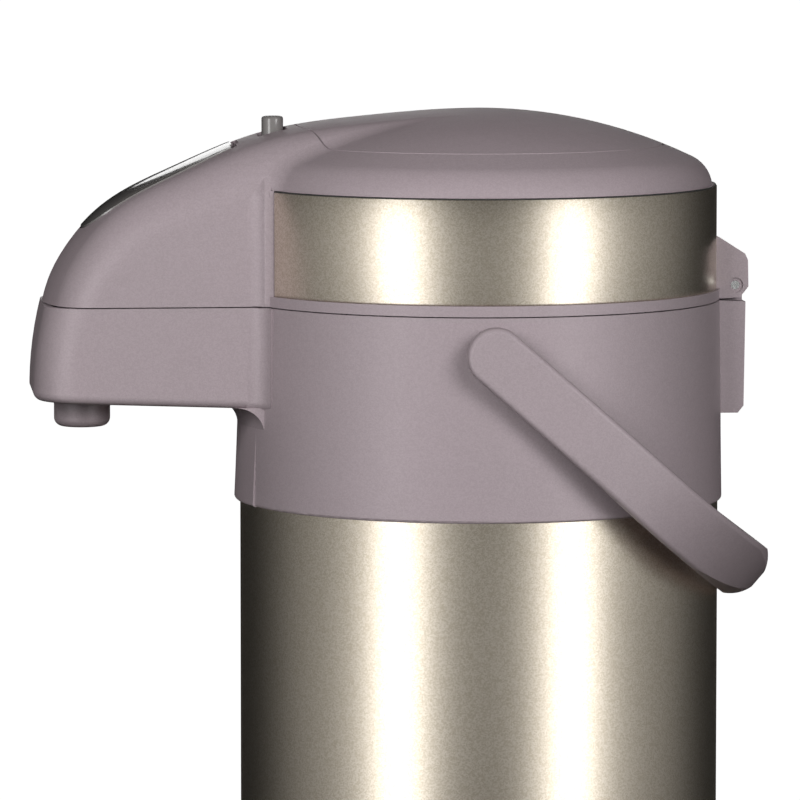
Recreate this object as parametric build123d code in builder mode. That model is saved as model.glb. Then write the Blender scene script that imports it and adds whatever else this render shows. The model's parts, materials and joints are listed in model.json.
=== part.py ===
"""Electric thermo pot with a push-plate air pump, a hinged lid and a bail handle.

Millimetres. The origin is the centre of the rest plane, +Z is up, the spout points to -Y,
the lid hinge is at +Y and the bail handle turns about the X axis.
"""
import os
from math import asin, atan2, cos, radians, sin, sqrt

from build123d import *

os.makedirs("parts", exist_ok=True)

# ---- Driving dimensions -------------------------------------------------------------------
# Fits and gaps
fit_gap = 0.05          # radial clearance of a pin, spigot or screw in its hole
seat_gap = 0.1          # clearance between nested pieces of one body
body_gap = 0.3          # clearance between neighbours on different bodies
seam_gap = 0.4          # parting line between lid and collar
cut_margin = 1.0        # how far a cutting tool runs past what it cuts
join_overlap = 1.0      # how far pieces of one moulding run into each other

# Base
foot_height = 3.0
foot_radius = 7.0
foot_circle = 68.0
foot_peg_radius = 2.0
foot_count = 4
foot_edge = 0.8
base_radius = 84.4
base_bottom = 2.0
base_wall = 2.5
base_height = 34.0
base_edge = 1.0
shell_socket_depth = 4.0
deck_height = 26.0
deck_thickness = 2.5
base_plate_thickness = 2.5
cable_hole_radius = 8.0
vent_slot_length = 16.0
vent_slot_width = 3.0
vent_circle = 40.0
vent_count = 8

# Power inlet and wiring
inlet_width = 30.0
inlet_bottom = 8.0
inlet_wall = 2.0
inlet_corner = 3.0
inlet_back = 60.0
inlet_back_wall = 6.0
inlet_flange = 3.0
inlet_flange_thickness = 2.0
inlet_flange_place = 76.5
blade_radius = 2.0
blade_spacing = 12.0
blade_reach = 12.0
blade_tail = 8.0
wire_radius = 1.3
terminal_width = 30.0
terminal_depth = 14.0
terminal_height = 11.0
terminal_place = 30.0
terminal_screw_radius = 2.4
lead_spacing = 8.0
lead_bend = 6.0

# Steel body shell and inner vessel
body_radius = 83.0
shell_wall = 0.8
shell_top = 214.0
vessel_radius = 68.0
vessel_wall = 0.8
vessel_bottom = 50.0
vessel_corner = 8.0
vessel_shoulder = 232.0
vessel_mouth_radius = 58.0
vessel_mouth_start = 242.0
vessel_top = 246.0
vessel_rim_width = 4.0
vessel_rim_thickness = 1.2
insulation_thickness = 5.0
insulation_bottom = 84.0
insulation_top = 228.0
insulation_channel_gap = 1.0
support_radius = 60.0
support_wall = 5.0
support_slot_width = 20.0

# Heating
heater_radius = 36.0
heater_thickness = 4.0
stud_radius = 2.0
stud_circle = 28.0
stud_length = 12.0
stud_count = 3
stud_angle = 30
shield_drop = 8.0
shield_radius = 40.0
shield_thickness = 1.0
shield_rim = 4.0
nut_radius = 4.0
nut_height = 3.0
fuse_length = 20.0
fuse_width = 10.0
fuse_height = 5.0
fuse_place = 15.0
fuse_edge = 2.0
thermostat_radius = 6.0
thermostat_height = 8.0
thermostat_place = 47.0
thermostat_stem_radius = 2.0
thermostat_stem_length = 4.0
band_bottom = 64.0
band_height = 18.0
band_thickness = 1.2
band_clamp_width = 12.0
band_clamp_depth = 5.0

# Delivery of the water
tube_radius = 5.5
tube_wall = 0.8
tube_place = 75.1
tube_height = 250.0
tube_bend = 10.0
spigot_place = 48.0
spigot_length = 4.0
hose_wall = 1.15
hose_height = 39.0
hose_bend = 7.0
hose_top = 62.0
hose_overlap = 6.0
nozzle_place = 137.9
nozzle_radius = 9.7
nozzle_bottom = 221.0
nozzle_seat = 231.8
nozzle_neck_radius = 7.5
nozzle_neck_height = 8.0
nozzle_bore = 4.0
nozzle_edge = 3.0
nozzle_socket_depth = 4.0

# Collar
collar_bottom = 195.0
collar_top = 264.0
collar_top_radius = 83.4
collar_bottom_radius = 84.4
collar_wall = 2.5
collar_edge = 1.0
collar_deck_height = 250.0
collar_deck_thickness = 2.5
collar_deck_bore = 63.0
pilaster_half_width = 26.7
pilaster_top = 224.0
pilaster_top_radius = 83.9
pilaster_bottom_radius = 85.1
mouth_radius = 55.0
mouth_neck_wall = 2.5
mouth_flange_radius = 68.5
mouth_flange_thickness = 2.5
mouth_top = 262.0
mouth_screw_circle = 65.8
mouth_screw_length = 9.0
mouth_boss_radius = 2.2
mouth_boss_length = 4.7
gasket_width = 4.5
gasket_thickness = 2.5
small_screw_radius = 1.1
small_head_radius = 2.2
small_head_height = 1.4
screw_count = 4
screw_angle = 45
rod_radius = 2.0
rod_circle = 77.5
rod_count = 4
rod_angle = 30
rod_head_radius = 4.0
rod_boss_wall = 2.2
rod_boss_length = 14.0
rod_head_height = 3.0

# Spout, lower half in the collar and upper half in the lid
spout_half_width = 33.0
spout_wall = 2.5
spout_corner = 15.0
spout_seam_reach = 151.5
spout_middle_reach = 154.3
spout_middle_height = 249.5
spout_nose_reach = 155.4
spout_floor_front = 231.8
spout_floor_rear = 229.4
spout_floor_edge = 3.0
spout_blend = 4.0
root_radius = 9.0
root_lap = 0.3
window_gap = 1.0
spout_crown = 0.05
nose_direction = (-0.22, -1)
spout_ridge = [(0.0, 65.6), (40.0, 63.1), (77.4, 57.0), (107.0, 45.1), (131.3, 31.8), (145.2, 15.6),
               (151.5, 0.0)]

# Lid
apex_height = 330.0
shoulder_radius = 11.8
shoulder_drop = 2.0
ring_radius = 80.75
ring_bottom = 304.6
lid_wall = 2.8
strip_radius = 83.3
strip_height = 3.6
post_half_width = 35.5
band_radius = 82.3
band_wall = 0.8
lid_band_top = 304.0
well_radius = 63.9
guide_wall = 2.3
guide_bottom = 268.0
shelf_height = 313.6
shelf_thickness = 2.5
shelf_front = 80.0
lid_boss_circle = 71.8
lid_boss_radius = 6.0
lid_boss_height = 20.0
lid_screw_radius = 1.4
lid_screw_length = 12.0
lid_head_radius = 3.0
lid_head_height = 1.8

# Inner lid and pump
inner_lid_thickness = 2.5
inner_lid_gap = 0.8
plug_radius = 54.0
plug_wall = 3.0
plug_bottom = 258.0
seal_width = 4.4
seal_thickness = 1.7
valve_radius = 9.0
valve_thickness = 1.5
valve_stem_radius = 2.4
valve_bead_radius = 3.4
air_hole_radius = 1.5
air_hole_circle = 6.0
air_hole_count = 4
bellows_radius = 47.0
bellows_inner_radius = 39.0
bellows_wall = 0.9
bellows_folds = 6
bellows_flange_thickness = 1.5
bellows_flange_step = 2.0
spring_radius = 20.0
spring_wire = 0.9
spring_pitch = 7.5
presser_height = 309.0
presser_radius = 46.0
presser_thickness = 2.5
stem_radius = 8.0
plate_radius = 63.4
plate_wall = 2.5
skirt_bottom = 298.0

# Lid hinge
hinge_place = 87.9
hinge_height = 269.0
hinge_pin_radius = 1.5
ear_half_width = 13.5
ear_top = 21.7
ear_slope = 0.5
ear_reach = 4.5
ear_outline = [(3.3, 10.9), (4.3, 8.7), (ear_reach, -0.5), (1.6, -4.2)]
knuckle_half_width = 8.3
knuckle_radius = 4.0
knuckle_gap = 0.6
knuckle_front_step = 0.3
knuckle_back_step = 1.0
pin_recess_radius = 2.6
pin_recess_depth = 0.8
bracket_drop = 39.4
bracket_corner = 2.5
bracket_wall = 2.0
bracket_gap = 0.2
bracket_slope = 0.5

# Release lever
lever_lean = 21.7
lever_centre = (-110.0, 304.0)
lever_front = -31.2
lever_rear = 26.4
lever_rear_half_width = 13.0
lever_half_width = 18.0
lever_proud = 0.4
lever_thickness = 2.0
lever_recess = 1.9
lever_gap = 0.5
lever_notch = 2.1
lever_mould_depth = 25.0
lever_dip_front = 91.5
lever_dip_rear = 83.0
lever_opening_front = 3.0
lever_opening_rear = 1.0
lever_pivot_place = 88.0
lever_pivot_height = 310.5
lever_pin_radius = 1.5
lever_knuckle_radius = 3.0
lever_knuckle_half_width = 8.0
lever_lug_width = 4.0
lever_lug_drop = 5.0
hook_half_width = 4.0
hook_thickness = 3.0
hook_bottom = 256.2
hook_nose_height = 2.4
catch_half_width = 12.0
catch_reach = 86.0
catch_height = 4.6

# Lock slider
lock_place = 71.8
lock_radius = 3.75
lock_top = 327.7
lock_travel = 5.0
lock_slot_front = 77.4
lock_slot_rear = 67.2
lock_plate_half_width = 9.0
lock_plate_thickness = 1.1
lock_plate_lap = 1.0
lock_plate_gap = 0.5
lock_edge = 1.0

# Bail handle
pivot_height = 247.8
bail_rest_angle = 40.8
bail_peg_radius = 4.0
bail_peg_tip = 80.5
bail_boss_radius = 8.0
bail_boss_inner = 78.5
bail_inner_radius = 87.4
bail_outer_half_width = 93.8
bail_straight = 32.5
bail_reach = 127.0
bail_inner_straight = 31.6
bail_depth = 15.0
# Side outline of the strap: along the arm from the pivot, and up from its middle
bail_hub_radius = 9.8
bail_hub_offset = 5.5
bail_hub_rise = 0.4
bail_upper_middle = (70.0, 9.7)
bail_upper_end = 11.9
bail_lower_end = -9.8
bail_lower_middle = (60.0, -10.4)
bail_crown_radius = 13.2
bail_crown_rise = 1.2
bail_crown_centre = 12.0
bail_outer_edge = 1.8
bail_inner_edge = 1.2

# ---- Derived places -----------------------------------------------------------------------
deck_top = deck_height + deck_thickness
shell_bottom = base_height - shell_socket_depth
shell_inner_radius = body_radius - shell_wall
base_inner_radius = base_radius - base_wall
plate_top = foot_height + base_plate_thickness
lid_bottom = collar_top + seam_gap
heater_bottom = vessel_bottom - heater_thickness
shield_top = heater_bottom - shield_drop
collar_inner_radius = collar_top_radius - collar_wall
collar_deck_top = collar_deck_height + collar_deck_thickness
mouth_bottom = vessel_top + gasket_thickness
guide_radius = well_radius + guide_wall
strip_top = lid_bottom + strip_height
inner_lid_top = lid_bottom + inner_lid_thickness
plug_floor_top = plug_bottom + inner_lid_thickness
tube_bore = tube_radius - tube_wall
hose_bore = tube_radius + fit_gap
hose_radius = hose_bore + hose_wall
spout_length = spout_ridge[-1][0]
spout_rise = spout_ridge[0][1]
bail_top = bail_reach - bail_straight
# The dome's crown meets the round shoulder, whose centre lies just below the lid's ring
shoulder_out = ring_radius - shoulder_radius
shoulder_height = ring_bottom - shoulder_drop
dome_rise = apex_height - shoulder_height
dome_radius = (shoulder_out**2 + dome_rise**2 - shoulder_radius**2) / (2 * (dome_rise - shoulder_radius))

UP = (Align.CENTER, Align.CENTER, Align.MIN)


def pillar(radius, low, high, mode=Mode.ADD):
    """A round post on the current locations, from one height to another."""
    with Locations((0, 0, low)):
        return Cylinder(radius, high - low, align=UP, mode=mode)


def block(x_range, y_range, z_range, mode=Mode.ADD):
    """A box between two corners."""
    size = [high - low for low, high in (x_range, y_range, z_range)]
    middle = [(high + low) / 2 for low, high in (x_range, y_range, z_range)]
    with Locations(tuple(middle)):
        return Box(*size, mode=mode)


def turned(points, mode=Mode.ADD):
    """A solid of revolution about Z from an outline of (radius, height) points."""
    with BuildSketch(Plane.XZ) as outline:
        with BuildLine():
            Polyline(*points, close=True)
        make_face()
    return revolve(outline.sketch, axis=Axis.Z, mode=mode)


def piped(points, bend, radius, mode=Mode.ADD):
    """A round bar along straight runs joined by tangent bends."""
    with BuildLine() as route:
        FilletPolyline(*points, radius=bend) if len(points) > 2 else Line(*points)
    with BuildSketch(Plane(route.line @ 0, z_dir=route.line % 0)) as section:
        Circle(radius)
    return sweep(section.sketch, path=route.line, mode=mode)


def across(radius, place, height, half_width, mode=Mode.ADD):
    """A round bar along X at the given Y and Z."""
    with Locations(Plane((0, place, height), z_dir=(1, 0, 0))):
        return Cylinder(radius, 2 * half_width, mode=mode)


def save(builder, name):
    """Label a finished piece and write it to its own file."""
    builder.part.label = name
    export_step(builder.part, f"parts/{name}.step")


# ---- Base ---------------------------------------------------------------------------------
boss_circle = foot_circle + foot_radius / 2

with BuildPart() as base_housing:
    turned([
        (0, deck_height), (base_inner_radius, deck_height), (base_inner_radius, base_bottom),
        (base_radius, base_bottom), (base_radius, base_height),
        (body_radius + fit_gap, base_height), (body_radius + fit_gap, shell_bottom),
        (base_inner_radius, shell_bottom), (base_inner_radius, deck_top), (0, deck_top)])
    outer_rims = base_housing.edges().filter_by(GeomType.CIRCLE).group_by(lambda edge: edge.radius)[-1]
    fillet(outer_rims, radius=base_edge)
    with PolarLocations(boss_circle, screw_count, start_angle=screw_angle):
        pillar(foot_peg_radius * 2, plate_top, deck_height)
    with PolarLocations(boss_circle, screw_count, start_angle=screw_angle):
        pillar(lid_screw_radius + fit_gap, plate_top, deck_height, mode=Mode.SUBTRACT)
    with PolarLocations(rod_circle, rod_count, start_angle=rod_angle):
        pillar(rod_radius + fit_gap, deck_height, deck_top, mode=Mode.SUBTRACT)
    pillar(cable_hole_radius, deck_height, deck_top, mode=Mode.SUBTRACT)
    block((-inlet_width / 2 - seat_gap, inlet_width / 2 + seat_gap),
          (inlet_flange_place, base_radius + cut_margin),
          (inlet_bottom - seat_gap, deck_height), mode=Mode.SUBTRACT)
save(base_housing, "base_housing")

# Feet on a circle, and one in the middle
foot_places = Locations((0, 0), *PolarLocations(foot_circle, foot_count).local_locations)

with BuildPart() as base_plate:
    pillar(base_inner_radius - body_gap, foot_height, plate_top)
    with PolarLocations(boss_circle, screw_count, start_angle=screw_angle):
        pillar(lid_screw_radius + fit_gap, foot_height, plate_top, mode=Mode.SUBTRACT)
        pillar(lid_head_radius + fit_gap, foot_height, foot_height + lid_head_height, mode=Mode.SUBTRACT)
    with foot_places:
        pillar(foot_peg_radius + fit_gap, foot_height, plate_top, mode=Mode.SUBTRACT)
    with BuildSketch(Plane.XY.offset(foot_height)):
        with PolarLocations(vent_circle, vent_count):
            SlotOverall(vent_slot_length, vent_slot_width)
    extrude(amount=base_plate_thickness, mode=Mode.SUBTRACT)
save(base_plate, "base_plate")

with BuildPart() as base_screws:
    with PolarLocations(boss_circle, screw_count, start_angle=screw_angle):
        pillar(lid_head_radius, foot_height, foot_height + lid_head_height)
        pillar(lid_screw_radius, foot_height, foot_height + lid_screw_length)
save(base_screws, "base_screws")

with BuildPart() as rubber_feet:
    with foot_places:
        pillar(foot_radius, 0, foot_height)
        pillar(foot_peg_radius, 0, plate_top)
    fillet(rubber_feet.edges().filter_by(GeomType.CIRCLE).group_by(Axis.Z)[0], radius=foot_edge)
save(rubber_feet, "rubber_feet")

# ---- Power inlet and wiring ---------------------------------------------------------------
inlet_middle = (inlet_bottom + deck_height) / 2
inlet_cavity = inlet_back + inlet_back_wall
inlet_face = sqrt(base_radius**2 - (inlet_width / 2)**2)

with BuildPart() as power_inlet:
    block((-inlet_width / 2, inlet_width / 2), (inlet_back, inlet_face), (inlet_bottom, deck_height))
    fillet(power_inlet.edges().filter_by(Axis.Y).group_by(Axis.Z)[0], radius=inlet_corner)
    block((-inlet_width / 2 - inlet_flange, inlet_width / 2 + inlet_flange),
          (inlet_flange_place - inlet_flange_thickness, inlet_flange_place),
          (inlet_bottom - inlet_flange / 2, deck_height))
    block((-inlet_width / 2 + inlet_wall, inlet_width / 2 - inlet_wall), (inlet_cavity, inlet_face),
          (inlet_bottom + inlet_wall, deck_height - inlet_wall), mode=Mode.SUBTRACT)
    for side in (-1, 1):
        with Locations(Plane((side * blade_spacing / 2, inlet_cavity, inlet_middle), z_dir=(0, 1, 0))):
            Cylinder(blade_radius + fit_gap, 3 * inlet_back_wall, mode=Mode.SUBTRACT)
save(power_inlet, "power_inlet")

with BuildPart() as inlet_pins:
    blade_length = blade_tail + inlet_back_wall + blade_reach
    for side in (-1, 1):
        blade_middle = (side * blade_spacing / 2, inlet_back - blade_tail + blade_length / 2, inlet_middle)
        with Locations(Plane(blade_middle, z_dir=(0, 1, 0))):
            Cylinder(blade_radius, blade_length)
save(inlet_pins, "inlet_pins")

terminal_back = terminal_place + terminal_depth
terminal_bottom = deck_height - terminal_height

with BuildPart() as terminal_block:
    block((-terminal_width / 2, terminal_width / 2), (terminal_place, terminal_back),
          (terminal_bottom, deck_height))
    with GridLocations(terminal_width / 3, 0, 3, 1):
        with Locations((0, terminal_place + terminal_depth / 2, terminal_bottom)):
            Cylinder(terminal_screw_radius, terminal_height / 2, align=UP, mode=Mode.SUBTRACT)
save(terminal_block, "terminal_block")

with BuildPart() as heater_leads:
    for side in (-1, 1):
        lead_x = side * lead_spacing / 2
        lead_height = deck_height - terminal_height / 2
        piped([(lead_x, terminal_place, lead_height), (lead_x, 0, lead_height),
               (lead_x, 0, heater_bottom)], lead_bend, wire_radius)
save(heater_leads, "heater_leads")

with BuildPart() as supply_leads:
    for side in (-1, 1):
        pin_x = side * blade_spacing / 2
        piped([(pin_x, terminal_back, inlet_middle), (pin_x, inlet_back - blade_tail, inlet_middle)],
              0, wire_radius)
save(supply_leads, "supply_leads")

# ---- Outer shell and inner vessel ---------------------------------------------------------
with BuildPart() as outer_shell:
    turned([(shell_inner_radius, shell_bottom), (body_radius, shell_bottom),
            (body_radius, shell_top), (shell_inner_radius, shell_top)])
save(outer_shell, "outer_shell")


def vessel_form(inset, top, mode=Mode.ADD):
    """The vessel's outline drawn in by the inset, turned about Z."""
    radius = vessel_radius - inset
    mouth = vessel_mouth_radius - inset
    with BuildSketch(Plane.XZ) as outline:
        with BuildLine():
            Polyline((0, vessel_bottom + inset), (radius, vessel_bottom + inset), (radius, vessel_shoulder),
                     (mouth, vessel_mouth_start), (mouth, top), (0, top), close=True)
        make_face()
        lower_corner = outline.vertices().sort_by(Axis.Y)[:2].sort_by(Axis.X)[-1]
        fillet(lower_corner, radius=vessel_corner - inset)
    return revolve(outline.sketch, axis=Axis.Z, mode=mode)


with BuildPart() as inner_vessel:
    vessel_form(0, vessel_top)
    pillar(vessel_mouth_radius + vessel_rim_width, vessel_top - vessel_rim_thickness, vessel_top)
    with Locations((0, -spigot_place)):
        pillar(tube_radius, vessel_bottom - spigot_length, vessel_bottom)
    vessel_form(vessel_wall, vessel_top + cut_margin, mode=Mode.SUBTRACT)
    with Locations((0, -spigot_place)):
        pillar(tube_bore, vessel_bottom - spigot_length, vessel_bottom + vessel_corner, mode=Mode.SUBTRACT)
save(inner_vessel, "inner_vessel")

with BuildPart() as vessel_support:
    pillar(support_radius, deck_top, vessel_bottom)
    pillar(support_radius - support_wall, deck_top, vessel_bottom, mode=Mode.SUBTRACT)
    block((-support_slot_width / 2, support_slot_width / 2), (-support_radius - cut_margin, 0),
          (deck_top, vessel_bottom), mode=Mode.SUBTRACT)
save(vessel_support, "vessel_support")

with BuildPart() as insulation_wrap:
    pillar(vessel_radius + insulation_thickness, insulation_bottom, insulation_top)
    pillar(vessel_radius + seat_gap, insulation_bottom, insulation_top, mode=Mode.SUBTRACT)
    tube_channel = hose_radius + insulation_channel_gap
    block((-tube_channel, tube_channel), (-body_radius, -vessel_radius / 2),
          (insulation_bottom, insulation_top), mode=Mode.SUBTRACT)
save(insulation_wrap, "insulation_wrap")

with BuildPart() as vessel_gasket:
    gasket_outer = vessel_mouth_radius + vessel_rim_width
    pillar(gasket_outer, vessel_top, mouth_bottom)
    pillar(gasket_outer - gasket_width, vessel_top, mouth_bottom, mode=Mode.SUBTRACT)
save(vessel_gasket, "vessel_gasket")

# ---- Heating ------------------------------------------------------------------------------
with BuildPart() as heater_plate:
    pillar(heater_radius, heater_bottom, vessel_bottom)
    with PolarLocations(stud_circle, stud_count, start_angle=stud_angle):
        pillar(stud_radius, heater_bottom - stud_length, heater_bottom)
save(heater_plate, "heater_plate")

with BuildPart() as heat_shield:
    pillar(shield_radius, shield_top - shield_thickness, shield_top + shield_rim)
    pillar(shield_radius - shield_thickness, shield_top, shield_top + shield_rim, mode=Mode.SUBTRACT)
    pillar(cable_hole_radius, shield_top - shield_thickness, shield_top, mode=Mode.SUBTRACT)
    with PolarLocations(stud_circle, stud_count, start_angle=stud_angle):
        pillar(stud_radius + fit_gap, shield_top - shield_thickness, shield_top, mode=Mode.SUBTRACT)
save(heat_shield, "heat_shield")

with BuildPart() as shield_nuts:
    with BuildSketch(Plane.XY.offset(shield_top - shield_thickness)):
        with PolarLocations(stud_circle, stud_count, start_angle=stud_angle):
            RegularPolygon(nut_radius, 6)
            Circle(stud_radius + fit_gap, mode=Mode.SUBTRACT)
    extrude(amount=-nut_height)
save(shield_nuts, "shield_nuts")

with BuildPart() as thermal_fuse:
    block((-fuse_length / 2, fuse_length / 2), (-fuse_place - fuse_width / 2, -fuse_place + fuse_width / 2),
          (shield_top - shield_thickness - fuse_height, shield_top - shield_thickness))
    fillet(thermal_fuse.edges().filter_by(Axis.X).group_by(Axis.Z)[0], radius=fuse_edge)
save(thermal_fuse, "thermal_fuse")

with BuildPart() as thermostats:
    thermostat_bottom = vessel_bottom - thermostat_height
    with PolarLocations(thermostat_place, 2):
        pillar(thermostat_radius, thermostat_bottom, vessel_bottom)
        pillar(thermostat_stem_radius, thermostat_bottom - thermostat_stem_length, vessel_bottom)
save(thermostats, "thermostats")

with BuildPart() as band_heater:
    band_outer = vessel_radius + seat_gap + band_thickness
    pillar(band_outer, band_bottom, band_bottom + band_height)
    block((-band_clamp_width / 2, band_clamp_width / 2), (0, band_outer + band_clamp_depth),
          (band_bottom, band_bottom + band_height))
    pillar(vessel_radius + seat_gap, band_bottom, band_bottom + band_height, mode=Mode.SUBTRACT)
    across(small_screw_radius, band_outer + band_clamp_depth / 2, band_bottom + band_height / 2,
           band_clamp_width, mode=Mode.SUBTRACT)
save(band_heater, "band_heater")

# ---- Delivery of the water ----------------------------------------------------------------
hose_route = [(0, -spigot_place, vessel_bottom - seat_gap), (0, -spigot_place, hose_height),
              (0, -tube_place, hose_height), (0, -tube_place, hose_top)]

with BuildPart() as outlet_hose:
    piped(hose_route, hose_bend, hose_radius)
    piped(hose_route, hose_bend, hose_bore, mode=Mode.SUBTRACT)
save(outlet_hose, "outlet_hose")

nozzle_top = nozzle_seat + nozzle_neck_height
tube_end = nozzle_top - nozzle_socket_depth
tube_route = [(0, -tube_place, hose_top - hose_overlap), (0, -tube_place, tube_height),
              (0, -nozzle_place, tube_height), (0, -nozzle_place, tube_end)]

with BuildPart() as delivery_tube:
    piped(tube_route, tube_bend, tube_radius)
    piped(tube_route, tube_bend, tube_bore, mode=Mode.SUBTRACT)
save(delivery_tube, "delivery_tube")

with BuildPart() as nozzle:
    with Locations((0, -nozzle_place)):
        pillar(nozzle_radius, nozzle_bottom, nozzle_seat)
        pillar(nozzle_neck_radius, nozzle_seat, nozzle_top)
    lower_rim = nozzle.edges().filter_by(GeomType.CIRCLE).group_by(Axis.Z)[0]
    fillet(lower_rim, radius=nozzle_edge)
    with Locations((0, -nozzle_place)):
        pillar(nozzle_bore, nozzle_bottom, nozzle_top, mode=Mode.SUBTRACT)
        pillar(hose_bore, tube_end, nozzle_top, mode=Mode.SUBTRACT)
save(nozzle, "nozzle")

# ---- Collar -------------------------------------------------------------------------------


def collar_radius(height):
    """The collar's outer radius, which grows evenly towards its lower edge."""
    share = (collar_top - height) / (collar_top - collar_bottom)
    return collar_top_radius + share * (collar_bottom_radius - collar_top_radius)


def lower_spout(inset):
    """The spout's lower half with its sides, nose and floor drawn in by the inset."""
    nose_line = spout_nose_reach - inset
    with BuildPart() as form:
        with BuildSketch(Plane.YZ.offset(-spout_half_width + inset)):
            with BuildLine():
                ThreePointArc((-spout_seam_reach + inset, collar_top),
                              (-spout_middle_reach + inset, spout_middle_height),
                              (-nose_line, spout_floor_front + inset))
                Polyline((-nose_line, spout_floor_front + inset),
                         (-collar_bottom_radius, spout_floor_rear + inset), (0, spout_floor_rear + inset),
                         (0, collar_top), (-spout_seam_reach + inset, collar_top))
            make_face()
        extrude(amount=2 * (spout_half_width - inset))
        nose = form.faces().sort_by(Axis.Y)[0]
        nose_sides = [nose.edges().sort_by(Axis.X)[0], nose.edges().sort_by(Axis.X)[-1]]
        fillet(nose_sides, radius=spout_corner - inset)
        floor_front = form.edges().group_by(Axis.Z)[0] + form.edges().filter_by(
            lambda edge: edge.bounding_box().max.Z < spout_floor_front + inset + 0.2 and edge.length > 2)
        fillet(ShapeList(set(floor_front)).filter_by(lambda edge: edge.center().Y < -1),
               radius=spout_floor_edge if inset == 0 else spout_floor_edge / 2)
    return form.part


spout_shell = lower_spout(0)
spout_hollow = lower_spout(spout_wall)
bracket_bottom = collar_top - bracket_drop
bracket_top = collar_top - bracket_gap
bracket_face = hinge_place + hinge_pin_radius + bracket_wall

with BuildPart() as pilaster:
    turned([(0, collar_bottom), (pilaster_bottom_radius, collar_bottom), (pilaster_top_radius, pilaster_top),
            (0, pilaster_top)])
    fillet(pilaster.edges().filter_by(GeomType.CIRCLE).group_by(Axis.Z)[0], radius=collar_edge)
    block((-pilaster_half_width, pilaster_half_width), (-pilaster_bottom_radius, -vessel_radius),
          (collar_bottom, pilaster_top), mode=Mode.INTERSECT)

with BuildPart() as spout_root:
    root_top = spout_floor_rear + root_lap
    root_bottom = root_top - root_radius
    root_reach = pilaster_top_radius + root_radius
    with BuildSketch(Plane.XZ):
        with BuildLine():
            RadiusArc((pilaster_top_radius, root_bottom), (root_reach, root_top), root_radius)
            Polyline((root_reach, root_top), (body_radius + fit_gap, root_top),
                     (body_radius + fit_gap, root_bottom),
                     (pilaster_top_radius, root_bottom))
        make_face()
    revolve(axis=Axis.Z)
    block((-spout_half_width, spout_half_width), (-root_reach, -vessel_radius), (root_bottom, root_top),
          mode=Mode.INTERSECT)


def flank_fillets(radius, low, high):
    """Concave fillets between the spout's flanks and a round wall of the given radius."""
    centre_x = spout_half_width + spout_blend
    centre_y = sqrt((radius + spout_blend)**2 - centre_x**2)
    wall_share = radius / (radius + spout_blend)
    wall_point = (centre_x * wall_share, -centre_y * wall_share)
    flank_point = (spout_half_width, -centre_y)
    with BuildPart() as form:
        with BuildSketch(Plane.XY.offset(low)):
            with BuildLine():
                RadiusArc(flank_point, wall_point, -spout_blend)
                Polyline(wall_point, (spout_half_width - join_overlap, -centre_y + spout_blend),
                         (spout_half_width - join_overlap, -centre_y), flank_point)
            make_face()
            mirror(about=Plane.YZ)
        extrude(amount=high - low)
    return form.part


window_bottom = tube_height - tube_bend - 2 * window_gap
window_top = tube_height + tube_radius + window_gap
window_half_width = tube_radius + window_gap
catch_bottom = collar_top - catch_height

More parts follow.
